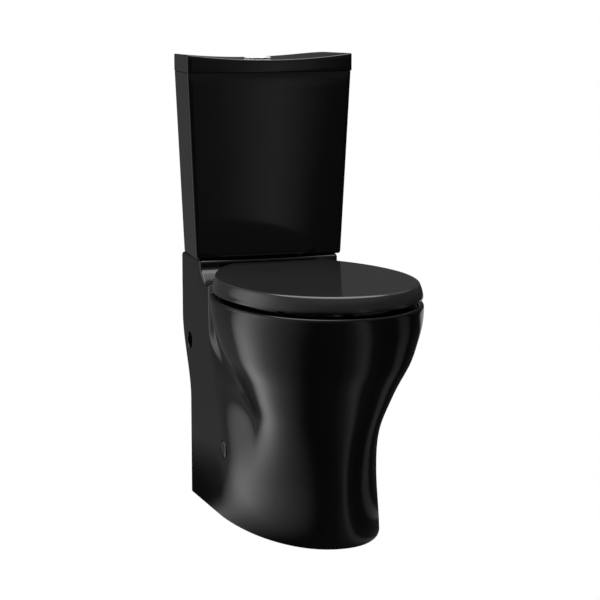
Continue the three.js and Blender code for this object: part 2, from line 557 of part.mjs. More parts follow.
for (const [name, side] of SIDES) {
  for (const [end, y] of [['front', -215], ['rear', 60]]) {
    const x = side * (end === 'front' ? 108 : 116);
    add(`ring_bumper_${end}_${name}`, rod(x, y, RIM_Z + GAP, RING_LOW_Z - GAP, 10, 20), blackRubber);
  }
  add(`lid_bumper_${name}`, rod(side * 122, -190, RING_TOP_Z + GAP, 453.1, 8, 20), blackRubber);
  add(`hinge_post_${name}`, cut(
    union(rod(side * POST_X, HINGE_Y, RIM_Z + GAP, 426.5, 11.5, 28),
      box(side * POST_X - POST_HALF, side * POST_X + POST_HALF, HINGE_Y - 9, HINGE_Y + 9, 425, HINGE_Z),
      crossRod(side * POST_X - POST_HALF, side * POST_X + POST_HALF, HINGE_Y, HINGE_Z, 9)),
    crossRod(side * POST_X - 10, side * POST_X + 10, HINGE_Y, HINGE_Z, 4.5),
    rod(side * POST_X, HINGE_Y, 420, 433.3, 4.5, 16)), chrome);
  add(`hinge_pin_${name}`, crossRod(Math.min(side * 34, side * 85), Math.max(side * 34, side * 85),
    HINGE_Y, HINGE_Z, 4, 24), steel);
  add(`hinge_stud_${name}`, rod(side * POST_X, HINGE_Y, 372, 433, 4, 16), steel);
  add(`hinge_nut_${name}`, cut(union(rod(side * POST_X, HINGE_Y, 392, 407.7, 11, 20),
    box(side * POST_X - 18, side * POST_X + 18, HINGE_Y - 3, HINGE_Y + 3, 392, 402)),
  rod(side * POST_X, HINGE_Y, 380, 410, 4.5, 16)), whitePlastic);

  // Floor bracket inside the skirt, its floor screw, and the side screw under the round cover.
  const span = (p, q) => [Math.min(side * p, side * q), Math.max(side * p, side * q)];
  const front = CAP_Y - 20;
  const back = CAP_Y + 20;
  add(`floor_bracket_${name}`, cut(
    union(box(...span(78, 119.5), front, back, 0.2, 4.2), box(...span(116.5, 119.5), front, back, 0.2, 150)),
    rod(side * 98, CAP_Y, -2, 8, 4.3, 16),
    crossRod(...span(90, 135), CAP_Y, CAP_Z, 3.4, 14)), steel);
  add(`floor_screw_${name}`, union(rod(side * 98, CAP_Y, 4.5, 9.5, 7.5, 6),
    rod(side * 98, CAP_Y, 0.2, 5, 3.8, 14)), steel);
  add(`side_screw_${name}`, union(crossRod(...span(106, 135), CAP_Y, CAP_Z, 3, 14),
    crossRod(...span(CAP_FACE_X + 0.3, CAP_FACE_X + 3), CAP_Y, CAP_Z, 7, 16)), steel);
  add(`side_cap_${name}`, cut(crossRod(...span(CAP_FACE_X + 0.3, CAP_FACE_X + 5.5), CAP_Y, CAP_Z, 16, 28),
    crossRod(...span(CAP_FACE_X - 5, CAP_FACE_X + 3.6), CAP_Y, CAP_Z, 12, 24)), seatPlastic);
}

export default group;
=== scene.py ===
import json
import logging
import math
from dataclasses import dataclass
from enum import Enum
from typing import Callable, Sequence

import bmesh
import bpy
import numpy as np
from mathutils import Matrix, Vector


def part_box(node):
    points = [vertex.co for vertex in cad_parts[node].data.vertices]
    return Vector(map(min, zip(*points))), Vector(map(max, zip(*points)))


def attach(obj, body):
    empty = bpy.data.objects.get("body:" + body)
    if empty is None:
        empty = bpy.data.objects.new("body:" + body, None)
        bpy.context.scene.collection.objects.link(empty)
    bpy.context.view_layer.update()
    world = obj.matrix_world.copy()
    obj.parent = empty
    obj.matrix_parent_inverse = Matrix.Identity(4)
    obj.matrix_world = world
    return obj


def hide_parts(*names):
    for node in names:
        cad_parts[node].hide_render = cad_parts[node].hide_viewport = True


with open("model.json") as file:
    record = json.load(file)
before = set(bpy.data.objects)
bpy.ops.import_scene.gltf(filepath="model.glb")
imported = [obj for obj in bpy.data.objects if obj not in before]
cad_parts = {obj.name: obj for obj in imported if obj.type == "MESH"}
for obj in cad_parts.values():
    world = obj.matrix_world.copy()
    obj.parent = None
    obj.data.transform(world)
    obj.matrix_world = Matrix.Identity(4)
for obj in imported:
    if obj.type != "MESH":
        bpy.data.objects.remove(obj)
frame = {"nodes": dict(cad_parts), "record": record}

logging.basicConfig(level=logging.INFO, format="%(message)s")
log = logging.getLogger("close_coupled_toilet")

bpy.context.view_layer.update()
MM = 0.001
Ring = list[tuple[float, float, float]]
# The CAD nodes that finished pieces stand for so far.
TAKEN: set[str] = set()


# ------------------------------------------------------------------ sizes shared by the assemblies
@dataclass(frozen=True)
class Sizes:
    """The leading sizes of the toilet, in millimetres, with +Z up and the front facing -Y."""

    front_y: float = -321.5
    wall_y: float = 321.5
    china: float = 11.0
    rim_z: float = 422.8
    rim_half: float = 181.5
    rim_tip: float = -314.5
    floor_half: float = 138.3
    floor_tip: float = -230.5
    deck_under_z: float = 408.0
    panel_half: float = 137.5
    skirt_rear_y: float = 244.5
    upper_rear_y: float = 316.0
    platform_z: float = 462.0
    platform_front_y: float = 170.0
    valve_y: float = 240.0
    tank_base_z: float = 462.3
    tank_top_z: float = 810.7
    tank_base_half: float = 144.5
    tank_top_half: float = 161.0
    tank_wall: float = 9.0
    tank_floor: float = 11.0
    tank_bow: float = 6.0
    lid_half: float = 162.0
    lid_z: float = 844.0
    lid_dip: float = 10.5
    lid_front_y: float = 159.5
    seat_half: float = 178.6
    seat_low_z: float = 431.0
    seat_top_z: float = 459.0
    seat_centre_y: float = -85.4
    seat_rear_reach: float = 263.7
    seat_rear_y: float = 142.0
    ring_low_z: float = 429.3
    ring_top_z: float = 447.0
    hinge_y: float = 127.0
    hinge_z: float = 441.0
    pin_bore: float = 4.4
    post_x: float = 77.0
    bolt_x: float = 82.0
    bolt_y: float = 212.0
    bolt_hole: float = 5.5
    fill_x: float = -100.0
    fill_y: float = 262.0
    outlet_z: float = 186.0
    outlet_end_y: float = 276.0
    cap_y: float = 33.0
    cap_z: float = 130.0
    cap_face_x: float = 132.6
    access_y: float = 243.5
    access_z: float = 298.0


S = Sizes()


class Side(Enum):
    """Which side of the toilet a piece is on, for someone facing the front."""

    LEFT = -1
    RIGHT = 1


class Join(Enum):
    """How one solid is worked into another."""

    UNION = "UNION"
    CUT = "DIFFERENCE"
    KEEP_COMMON = "INTERSECT"


# ------------------------------------------------------------------ finishes
def add_node(tree: bpy.types.NodeTree, kind: str, sockets: dict[str | int, object],
             **settings: object) -> bpy.types.Node:
    """Adds a shader node.

    Args:
        tree: The node tree to add to.
        kind: The node's type.
        sockets: What goes into its inputs. A socket is linked, and any other value is set.
        settings: Properties of the node itself, which are set first.
    Returns:
        The new node.
    """
    node = tree.nodes.new(kind)
    for name, value in settings.items():
        setattr(node, name, value)
    for key, value in sockets.items():
        if isinstance(value, bpy.types.NodeSocket):
            tree.links.new(value, node.inputs[key])
        else:
            node.inputs[key].default_value = value
    return node


@dataclass(frozen=True)
class Finish:
    """A procedural surface finish built on the Principled shader."""

    name: str
    colour: tuple[float, float, float]
    roughness: float
    metallic: float = 0.0
    ior: float = 1.5
    coat: float = 0.0
    tone_scale: float = 9.0
    tone_spread: float = 0.08
    rough_spread: float = 0.02
    grain_scale: float = 500.0
    grain_height: float = 0.00001
    wave_scale: float = 0.0
    wave_height: float = 0.0

    def build(self) -> bpy.types.Material:
        """Builds the material.

        Returns:
            The new material, or the one of that name made earlier.
        """
        found = bpy.data.materials.get(self.name)
        if found:
            return found
        mat = bpy.data.materials.new(self.name)
        mat.use_nodes = True
        tree = mat.node_tree
        bsdf = tree.nodes["Principled BSDF"]
        for name, value in (("Metallic", self.metallic), ("IOR", self.ior), ("Coat Weight", self.coat),
                            ("Coat Roughness", 0.04)):
            bsdf.inputs[name].default_value = value
        where = add_node(tree, "ShaderNodeTexCoord", {}).outputs["Object"]

        def noise(scale: float, detail: float) -> bpy.types.NodeSocket:
            """Noise over the object's own coordinates."""
            return add_node(tree, "ShaderNodeTexNoise",
                            {"Scale": scale, "Detail": detail, "Vector": where}).outputs["Fac"]

        def spread(value: bpy.types.NodeSocket, low: float, high: float) -> bpy.types.NodeSocket:
            """The usual run of the noise, from 0.3 to 0.7, laid over low to high."""
            return add_node(tree, "ShaderNodeMapRange",
                            {"Value": value, "From Min": 0.3, "From Max": 0.7, "To Min": low,
                             "To Max": high}).outputs["Result"]

        def relief(value: bpy.types.NodeSocket, height: float) -> bpy.types.Node:
            """A bump of that height in metres."""
            return add_node(tree, "ShaderNodeBump", {"Strength": 1.0, "Distance": height, "Height": value})

        tone = spread(noise(self.tone_scale, 4.0), 1.0 - self.tone_spread, 1.0 + self.tone_spread)
        shade = add_node(tree, "ShaderNodeMix", {"Factor": 1.0, "A": (*self.colour, 1.0), "B": tone},
                         data_type="RGBA", blend_type="MULTIPLY")
        rough = spread(noise(self.tone_scale * 3.0, 6.0), max(0.01, self.roughness - self.rough_spread),
                       self.roughness + self.rough_spread)
        bump = relief(noise(self.grain_scale, 3.0), self.grain_height)
        if self.wave_height > 0.0:
            swell = relief(noise(self.wave_scale, 1.0), self.wave_height)
            tree.links.new(swell.outputs["Normal"], bump.inputs["Normal"])
        tree.links.new(shade.outputs["Result"], bsdf.inputs["Base Color"])
        tree.links.new(rough, bsdf.inputs["Roughness"])
        tree.links.new(bump.outputs["Normal"], bsdf.inputs["Normal"])
        return mat


GLAZE = Finish("black_glaze", (0.0022, 0.0022, 0.0023), 0.07, ior=1.5, rough_spread=0.02,
               grain_scale=260.0, grain_height=0.000008, wave_scale=14.0, wave_height=0.0002)
SEAT = Finish("black_duroplast", (0.0145, 0.0145, 0.0148), 0.1, ior=1.5, rough_spread=0.02,
              grain_scale=420.0, grain_height=0.000006)
CHROMED = Finish("chromed_plastic", (0.82, 0.83, 0.84), 0.07, metallic=1.0, rough_spread=0.03)
CHROME = Finish("chrome", (0.78, 0.79, 0.8), 0.09, metallic=1.0, rough_spread=0.04)
ZINC = Finish("zinc_steel", (0.48, 0.49, 0.5), 0.36, metallic=1.0, rough_spread=0.1, tone_scale=60.0,
              tone_spread=0.2)
WHITE = Finish("white_plastic", (0.78, 0.79, 0.76), 0.42, grain_height=0.00003)
GREY = Finish("grey_plastic", (0.32, 0.35, 0.37), 0.45, grain_height=0.00003)
BLACK_RUBBER = Finish("black_rubber", (0.018, 0.018, 0.018), 0.75, grain_height=0.00005)
RED_RUBBER = Finish("red_rubber", (0.26, 0.04, 0.03), 0.6, grain_height=0.00004)


# ------------------------------------------------------------------ shape tools
def smooth_step(t: float) -> float:
    """Eases from 0 to 1.

    Args:
        t: Any number.
    Returns:
        0 below 0, 1 above 1 and a smooth curve between.
    """
    k = min(1.0, max(0.0, t))
    return k * k * (3.0 - 2.0 * k)


def mix(a: float, b: float, t: float) -> float:
    """Returns the value a fraction t of the way from a to b."""
    return a + (b - a) * t


def blend_max(a: float, b: float, r: float) -> float:
    """Returns the larger of a and b, rounded over a width r where they cross."""
    return max(a, b) + max(r - abs(a - b), 0.0) ** 2 / (4.0 * r)


def quarter(steps: int, first: int = 0) -> list[float]:
    """Returns the angles of a quarter turn in equal steps, from step number first."""
    return [math.pi / 2 * k / steps for k in range(first, steps + 1)]


def oval(half_x: float, half_y: float, mid_y: float, z: float, power: float) -> Ring:
    """Returns a level superellipse of 160 points from its front tip round, where power 2 is an ellipse."""
    ring: Ring = []
    for i in range(160):
        a = 2 * math.pi * i / 160
        c, s = math.cos(a), math.sin(a)
        ring.append((half_x * math.copysign(abs(s) ** (2 / power), s),
                     mid_y - half_y * math.copysign(abs(c) ** (2 / power), c), z))
    return ring


class SoftCurve:
    """A smooth curve through a few (place, value) pairs: a natural cubic spline."""

    def __init__(self, pairs: Sequence[tuple[float, float]]) -> None:
        """Solves the spline for the pairs, which are in rising order of place."""
        x = np.array([p[0] for p in pairs], float)
        y = np.array([p[1] for p in pairs], float)
        n = len(x)
        h = np.diff(x)
        a = np.zeros((n, n))
        b = np.zeros(n)
        a[0, 0] = a[-1, -1] = 1.0
        for i in range(1, n - 1):
            a[i, i - 1 : i + 2] = h[i - 1], 2.0 * (h[i - 1] + h[i]), h[i]
            b[i] = 6.0 * ((y[i + 1] - y[i]) / h[i] - (y[i] - y[i - 1]) / h[i - 1])
        self.x, self.y, self.h, self.m = x, y, h, np.linalg.solve(a, b)

    def at(self, place: float) -> float:
        """Returns the value at that place, held level past both ends."""
        p = min(max(place, self.x[0]), self.x[-1])
        i = int(min(max(np.searchsorted(self.x, p) - 1, 0), len(self.h) - 1))
        h, left, right = self.h[i], p - self.x[i], self.x[i + 1] - p
        m0, m1 = self.m[i], self.m[i + 1]
        return float((m0 * right**3 + m1 * left**3) / (6 * h) + (self.y[i] / h - m0 * h / 6) * right
                     + (self.y[i + 1] / h - m1 * h / 6) * left)


def new_object(name: str, mesh: bpy.types.Mesh) -> bpy.types.Object:
    """Puts a mesh in the scene as an object at the origin."""
    obj = bpy.data.objects.new(name, mesh)
    bpy.context.scene.collection.objects.link(obj)
    return obj


def loft(name: str, rings: Sequence[Ring]) -> bpy.types.Object:
    """A closed solid through rings of points, capped at both ends.

    Args:
        name: The object's name.
        rings: Rings with the same number of points each, in millimetres.
    Returns:
        The new object, with its faces outwards.
    """
    around = len(rings[0])
    points = [(x * MM, y * MM, z * MM) for ring in rings for x, y, z in ring]
    faces: list[tuple[int, ...]] = []
    for r in range(len(rings) - 1):
        for i in range(around):
            j = (i + 1) % around
            faces.append((r * around + i, r * around + j, (r + 1) * around + j, (r + 1) * around + i))
    for r in (0, len(rings) - 1):
        ring = np.array(rings[r])
        points.append(tuple(float(v) * MM for v in ring.mean(axis=0)))
        hub = len(points) - 1
        for i in range(around):
            faces.append((hub, r * around + i, r * around + (i + 1) % around))
    mesh = bpy.data.meshes.new(name)
    mesh.from_pydata(points, [], faces)
    return new_object(name, tidy(mesh))


def tidy(mesh: bpy.types.Mesh) -> bpy.types.Mesh:
    """Merges doubles and turns every face outwards."""
    bm = bmesh.new()
    bm.from_mesh(mesh)
    bmesh.ops.remove_doubles(bm, verts=bm.verts, dist=1e-6)
    bmesh.ops.recalc_face_normals(bm, faces=bm.faces)
    if bm.calc_volume(signed=True) < 0:
        bmesh.ops.reverse_faces(bm, faces=bm.faces)
    bm.to_mesh(mesh)
    bm.free()
    return mesh


def turned(name: str, x: float, y: float, profile: Sequence[tuple[float, float]],
           around: int = 64) -> bpy.types.Object:
    """A shape turned about an upright axis.

    Args:
        name: The object's name.
        x: Where the axis stands.
        y: Where the axis stands.
        profile: (radius, height) pairs, from one end to the other, in millimetres.
        around: How many points there are round the axis.
    Returns:
        The new object. A profile that closes on itself gives a ring.
    """
    rings = []
    for radius, z in profile:
        rings.append([(x + radius * math.cos(2 * math.pi * i / around),
                       y + radius * math.sin(2 * math.pi * i / around), z) for i in range(around)])
    if profile[0] == profile[-1]:
        return closed_loft(name, rings[:-1])
    return loft(name, rings)


def rod(x: float, y: float, radius: float, low: float, high: float, around: int) -> bpy.types.Object:
    """An upright cylinder from low to high, to join or to cut with."""
    return turned("rod", x, y, [(radius, low), (radius, high)], around)


def closed_loft(name: str, rings: Sequence[Ring]) -> bpy.types.Object:
    """A solid through rings of points whose last ring joins the first, such as a washer."""
    around = len(rings[0])
    count = len(rings)
    points = [(x * MM, y * MM, z * MM) for ring in rings for x, y, z in ring]
    faces = []
    for r in range(count):
        s = (r + 1) % count
        for i in range(around):
            j = (i + 1) % around
            faces.append((r * around + i, r * around + j, s * around + j, s * around + i))
    mesh = bpy.data.meshes.new(name)
    mesh.from_pydata(points, [], faces)
    return new_object(name, tidy(mesh))


def lay_along_x(obj: bpy.types.Object, y: float, z: float, flip: int = 1) -> bpy.types.Object:
    """Lays a shape turned about the upright axis at the origin down along X.

    Args:
        obj: The turned object, whose heights become places along X.
        y: Where its axis goes.
        z: Where its axis goes.
        flip: 1, or -1 to mirror it to the other side.
    Returns:
        The same object.
    """
    for v in obj.data.vertices:
        px, py, pz = v.co
        v.co = Vector((flip * pz, px + y * MM, py + z * MM))
    tidy(obj.data)
    return obj


def block(name: str, x0: float, x1: float, y0: float, y1: float, z0: float, z1: float,
          bevel: float = 0.0) -> bpy.types.Object:
    """A box with rounded edges, in millimetres."""
    bm = bmesh.new()
    bmesh.ops.create_cube(bm, size=1.0)
    for v in bm.verts:
        v.co = Vector((mix(x0, x1, v.co.x + 0.5) * MM, mix(y0, y1, v.co.y + 0.5) * MM,
                       mix(z0, z1, v.co.z + 0.5) * MM))
    if bevel > 0.0:
        bmesh.ops.bevel(bm, geom=bm.edges[:], offset=bevel * MM, segments=3, profile=0.5,
                        affect="EDGES", clamp_overlap=True)
    mesh = bpy.data.meshes.new(name)
    bm.to_mesh(mesh)
    bm.free()
    return new_object(name, tidy(mesh))


def tube(name: str, path: Sequence[tuple[float, float, float]], radius: float, steps: int = 60,
         around: int = 40) -> bpy.types.Object:
    """A round bar along a smooth path, in millimetres."""
    keys = [Vector(p) for p in path]
    lengths = [0.0]
    for a, b in zip(keys, keys[1:]):
        lengths.append(lengths[-1] + (b - a).length)
    curves = [SoftCurve([(t, k[axis]) for t, k in zip(lengths, keys)]) for axis in range(3)]
    spots = [Vector([c.at(lengths[-1] * i / steps) for c in curves]) for i in range(steps + 1)]
    rings: list[Ring] = []
    side = Vector((1.0, 0.0, 0.0))
    for i, spot in enumerate(spots):
        ahead = spots[min(i + 1, steps)] - spots[max(i - 1, 0)]
        ahead.normalize()
        side = (side - ahead * side.dot(ahead)).normalized()
        up = ahead.cross(side)
        rings.append([tuple(spot + radius * (math.cos(a) * side + math.sin(a) * up))
                      for a in (2 * math.pi * k / around for k in range(around))])
    return loft(name, rings)


def work(base: bpy.types.Object, tool: bpy.types.Object, how: Join) -> bpy.types.Object:
    """Joins, cuts or intersects base with tool, which is used up.

    Args:
        base: The object that is kept.
        tool: The closed object worked into it.
        how: Which of the three it is.
    Returns:
        base, with a plain mesh.
    """
    step = base.modifiers.new("work", "BOOLEAN")
    step.operation = how.value
    step.solver = "MANIFOLD"
    step.object = tool
    bpy.context.view_layer.update()
    done = bpy.data.meshes.new_from_object(base.evaluated_get(bpy.context.evaluated_depsgraph_get()))
    base.modifiers.remove(step)
    old = base.data
    base.data = done
    bpy.data.meshes.remove(old)
    bpy.data.objects.remove(tool)
    return base


def dress(obj: bpy.types.Object, finish: Finish, sharp: float = 32.0) -> bpy.types.Object:
    """Gives an object its finish and smooth shading with crisp edges.

    Args:
        obj: The object.
        finish: Its finish.
        sharp: The angle in degrees past which an edge stays crisp.
    Returns:
        The same object.
    """
    obj.data.materials.clear()
    obj.data.materials.append(finish.build())
    for poly in obj.data.polygons:
        poly.use_smooth = True
        poly.material_index = 0
    obj.data.set_sharp_from_angle(angle=math.radians(sharp))
    return obj


def settle(obj: bpy.types.Object, body: str, slot: str, *nodes: str) -> None:
    """Puts a finished piece on its body, in place of its CAD nodes.

    Args:
        obj: The finished piece.
        body: The body it rides on.
        slot: The record's material slot; not used.
        nodes: The CAD nodes it stands for.
    """
    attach(obj, body)
    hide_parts(*nodes)
    TAKEN.update(nodes)
    log.info("%s: %d faces, stands for %s", obj.name, len(obj.data.polygons), ", ".join(nodes))


# ------------------------------------------------------------------ the pan
@dataclass
class Pan:
    """The skirted china pan: outer skin, hollow skirt, basin, trap, deck and tank platform."""

    around: int = 380
    saddle_half: float = 129.0
    flare: SoftCurve = SoftCurve([(0, 0), (60, -0.05), (130, -0.075), (170, -0.05), (203, 0.02),
                                  (244, 0.22), (282, 0.47), (317, 0.72), (352, 0.87), (377, 0.96),
                                  (405, 1.0), (422.8, 1.0)])
    vase: SoftCurve = SoftCurve([(0, 110.5), (60, 107), (130, 106), (170, 107.5), (203, 112), (244, 125),
                                 (282, 142), (317, 159.5), (352, 171), (377, 177.5), (405, 181.3),
                                 (422.8, 181.5)])
    edge: float = 7.0
    foot_y: float = 79.8  # where the foot's curve meets the flat side panel
    fore_power: float = 2.2
    rear_power: float = 1.84
    basin_power: float = 2.15
    trap_radius: float = 48.5
    trap_bore: float = 38.0

    def crease(self, z: float) -> tuple[float, float, float]:
        """Where the bowl is widest, where the flat panel ends and over what depth it turns in."""
        middle = mix(-85, -74.7, self.flare.at(z))
        start = -blend_max(-122.0, -63 - 0.55 * (z - 197), 45)
        return middle, start, mix(start - middle, 16.0, smooth_step((z - 215) / 125))

    def half(self, y: float, z: float) -> float:
        """Half width of the pan at depth y and height z.

        Args:
            y: The depth.
            z: The height.
        Returns:
            The half width, with the bowl standing out of the flat side panels.
        """
        tip = mix(S.floor_tip, S.rim_tip, self.flare.at(z))
        middle, start, turn_in = self.crease(z)
        power = mix(2.16, 2.0, smooth_step(z / 110))
        ahead = max(0.0, self.foot_y - y) / (self.foot_y - tip)
        foot = min(S.panel_half, S.floor_half * max(0.0, 1 - ahead**power) ** (1 / power))
        wide = self.vase.at(z)
        reach = mix(150.0, 268.0, smooth_step((z - 240) / 180))
        if y <= middle:
            share, bend = (middle - y) / (middle - tip), self.fore_power
        else:
            share, bend = (y - middle) / reach, self.rear_power
        upper = wide * max(0.0, 1 - share**bend) ** (1 / bend)
        if y > middle + 1:
            hollow = S.panel_half - min(wide, self.saddle_half)
            panel = S.panel_half - hollow * smooth_step((start - y) / turn_in)
            upper = blend_max(upper, panel, 0.5 + 8 * smooth_step((y - middle) / 60))
        return mix(foot, upper, smooth_step((z - 105) / 140))

    def outline(self, turn: float, z: float, inset: float) -> tuple[float, float]:
        """A point on the pan's outline.

        Args:
            turn: How far round, from 0 at the front tip to 1.
            z: The height.
            inset: How far inside the outer skin.
        Returns:
            The point's x and y.
        """
        tip = mix(S.floor_tip, S.rim_tip, self.flare.at(z))
        middle, start, turn_in = self.crease(z)
        saddle = max(start - turn_in - 8, middle + 20)
        rear = mix(S.skirt_rear_y, S.upper_rear_y, smooth_step((z - 185) / 160))
        corner = mix(8, 30, smooth_step((z - 185) / 160))
        side = 1 if turn <= 0.5 else -1
        s = 2 * turn if turn <= 0.5 else 2 - 2 * turn
        if s <= 0.4:
            fore = max(0.0, math.cos(math.pi / 2 * (s / 0.4))) ** (2 / self.fore_power)
            x = 0.0 if s == 0 else (self.half(middle - (middle - tip) * fore, z)
                                    * (1 - inset / self.half(middle, z)))
            y = middle - (middle - tip - inset) * fore
        elif s <= 0.8:
            if s <= 0.56:
                y = mix(middle, saddle, (s - 0.4) / 0.16)
            elif s <= 0.7:
                y = mix(saddle, start + 4, (s - 0.56) / 0.14)
            else:
                y = mix(start + 4, rear - corner, (s - 0.7) / 0.1)
            near = [self.half(y, z)]
            if inset > 9:
                near += [self.half(y - 12, z), self.half(y + 12, z)]
            x = min(near) - inset
        elif s <= 0.9:
            a = math.pi / 2 * ((s - 0.8) / 0.1)
            small = max(corner - inset, 1.0)
            x = S.panel_half - inset - small + small * math.cos(a)
            y = rear - inset - small + small * math.sin(a)
        else:
            x = (S.panel_half - corner) * (1 - (s - 0.9) / 0.1)
            y = rear - inset
        return side * x, y

    def ring(self, z: float, inset: float, at: float | None = None, around: int = 0) -> Ring:
        """A ring of the outline at height z, drawn at height `at` where that differs."""
        count = around or self.around
        return [(*self.outline(i / count, max(z, 0.0), inset), z if at is None else at)
                for i in range(count)]

    def skin(self) -> bpy.types.Object:
        """The outer solid up to the rim, its upper edge rounded."""
        rings = [self.ring(0.0, 2.0), self.ring(1.0, 0.6), self.ring(2.5, 0.0)]
        top = S.rim_z - self.edge
        rings += [self.ring(z, 0.0) for z in np.linspace(6, top, 86)]
        for a in quarter(8, 1):
            z = top + self.edge * math.sin(a)
            rings.append(self.ring(S.rim_z, self.edge * (1 - math.cos(a)), at=z))
        return loft("bowl_china", rings)

    def hollow(self) -> bpy.types.Object:
        """The space inside the skirt."""
        rings = [self.ring(-1.0, S.china, around=144)]
        rings += [self.ring(z, S.china, around=144) for z in np.linspace(8, S.deck_under_z - 6, 36)]
        rings += [self.ring(S.deck_under_z - 6, S.china + 2, at=S.deck_under_z - 2, around=144),
                  self.ring(S.deck_under_z - 6, S.china + 6, at=S.deck_under_z, around=144)]
        return loft("hollow", rings)

    def basin(self, grow: float) -> bpy.types.Object:
        """The basin, larger all round by grow."""
        half_x = SoftCurve([(112, 30), (125, 42), (150, 52), (185, 62), (230, 80), (280, 103), (330, 122),
                            (375, 133), (400, 136), (424, 136)])
        half_y = SoftCurve([(112, 34), (125, 46), (150, 60), (185, 76), (230, 98), (280, 124), (330, 146),
                            (375, 158), (400, 162), (424, 162)])
        mid_y = SoftCurve([(112, 8), (125, 6), (150, -2), (185, -14), (230, -34), (280, -58), (330, -79),
                           (375, -92), (400, -97), (424, -98)])
        rings = []
        lip = 9.0 if grow == 0 else 0.0
        for z in [112, 113, 116, *np.linspace(121, 412, 50), *np.linspace(414, 424, 9)]:
            more = grow
            if lip and z > S.rim_z - lip:
                down = min(1.0, max(0.0, (z - (S.rim_z - lip)) / lip))
                more += lip * (1 - math.sqrt(max(0.0, 1 - down**2)))
            drop = grow * 0.9 if z < 400 else grow * 0.9 * max(0.0, (424 - z) / 24)
            height = z - drop if grow else (z if z < 424 else 426)
            rings.append(oval(half_x.at(z) + more, half_y.at(z) + more, mid_y.at(z), height,
                              self.basin_power))
        return loft("basin", rings)

    def platform(self) -> bpy.types.Object:
        """The raised table that the tank stands on, with its cove down to the deck."""
        path: list[tuple[float, float, float, float]] = []
        front, top, deck = S.platform_front_y, S.platform_z, S.rim_z + 0.05
        sweep = SoftCurve([(0, 0), (3, 0.45), (7, 1.9), (11, 4.3), (16, 8), (22, 12.6), (25.8, 15.8),
                           (28.5, 19), (30.3, 22.2)])
        path.append((front - 40, deck, 0.0, 1.0))
        for back in (31, 29.5, 28, 26, 24, 22, 20, 17.5, 15, 12, 9, 7, 5, 3.5, 2.4, 1.5, 0.8):
            slope = (sweep.at(31.2 - back) - sweep.at(30.8 - back)) / 0.4 if back < 30.8 else 0.0
            size = math.hypot(slope, 1)
            path.append((front - back, deck + max(0.0, sweep.at(31 - back)), -slope / size, 1 / size))
        path.append((front, deck + 26, -1.0, 0.0))
        for a in quarter(8):
            path.append((front + 7 - 7 * math.cos(a), top - 7 + 7 * math.sin(a), -math.cos(a), math.sin(a)))
        path += [(y, top, 0.0, 1.0) for y in (front + 40, S.upper_rear_y - 40, *np.linspace(286, 311, 9))]
        for a in quarter(6):
            path.append((S.upper_rear_y - 4 + 4 * math.sin(a), top - 4 + 4 * math.cos(a),
                         math.sin(a), math.cos(a)))
        path.append((S.upper_rear_y, deck - 20, 1.0, 0.0))
        rings: list[Ring] = []
        edge = 5.0
        for y, z, ny, nz in path:
            half = self.half_at_top(y) + 0.12
            flank = []
            for a in quarter(6):
                back = edge * (1 - math.sin(a))
                flank.append((half - edge * (1 - math.cos(a)), y - ny * back, max(400.5, z - nz * back)))
            ring: Ring = [(-half, y, 400.0), *((-px, py, pz) for px, py, pz in flank)]
            ring += [(half * f, y, z) for f in (-0.6, 0.0, 0.6)]
            ring += [*reversed(flank), (half, y, 400.0)]
            rings.append(ring)
        return loft("platform", rings)

    def half_at_top(self, y: float) -> float:
        """Half width of the deck and platform at depth y."""
        corner_start = S.upper_rear_y - 30
        if y <= corner_start:
            return self.half(y, S.rim_z)
        over = min(1.0, (y - corner_start) / 30)
        return S.panel_half - 30 + 30 * math.sqrt(max(0.0, 1 - over**2))

    def fluted_hole(self, side: Side, y: float, z: float, radius: float, lip: float, face: float,
                    depth: float) -> bpy.types.Object:
        """A cutter for a hole through a side panel with a rounded lip."""
        profile = [(0.01, face - depth), (radius, face - depth), (radius, face - lip)]
        profile += [(radius + lip * (1 - math.cos(a)), face - lip + lip * math.sin(a))
                    for a in quarter(6, 1)]
        profile += [(radius + lip, face + 12), (0.01, face + 12)]
        return lay_along_x(turned("hole", 0, 0, profile, 48), y, z, side.value)

    def build(self) -> None:
        """Builds the pan and puts it in place of the casting's four CAD nodes."""
        pan = self.skin()
        work(pan, self.hollow(), Join.CUT)
        work(pan, self.platform(), Join.UNION)
        inner = S.panel_half - S.china
        work(pan, block("bay", -inner, inner, 186, 304, 380, S.platform_z - 15, 4), Join.CUT)
        work(pan, block("back", -100, 100, 225, 330, -2, S.platform_z - 15, 6), Join.CUT)
        work(pan, self.basin(S.china), Join.UNION)
        trap = [(0, 12, 128), (0, 60, 104), (0, 112, 128), (0, 134, 190), (0, 152, 232), (0, 186, 226),
                (0, 214, 196), (0, 244, S.outlet_z), (0, S.outlet_end_y, S.outlet_z)]
        work(pan, tube("trap", trap, self.trap_radius, 90, 48), Join.UNION)
        work(pan, rod(0, S.valve_y, 63, 384, S.platform_z - 5, 72), Join.UNION)
        work(pan, block("duct", -32, 32, 70, S.valve_y, 384, 412, 8), Join.UNION)
        work(pan, self.basin(0.0), Join.CUT)
        path = [(0, -4, 140), *trap[1:], (0, S.outlet_end_y + 4, S.outlet_z)]
        work(pan, tube("way", path, self.trap_bore, 90, 48), Join.CUT)
        top = S.platform_z
        work(pan, turned("seat_hole", 0, S.valve_y, [(34, 394), (34, top - 32), (52, top - 32), (52, top - 2),
                                                     (54, top + 0.5), (54, top + 3)], 72), Join.CUT)
        work(pan, block("inlet", -23, 23, 50, S.valve_y, 394, 405, 3), Join.CUT)
        for side in Side:
            x = side.value
            work(pan, rod(x * S.post_x, S.hinge_y, 7, 400, 430, 32), Join.CUT)
            work(pan, rod(x * S.bolt_x, S.bolt_y, S.bolt_hole, 440, 470, 32), Join.CUT)
            work(pan, self.fluted_hole(side, S.access_y, S.access_z, 16.0, 1.6, S.panel_half, 25), Join.CUT)
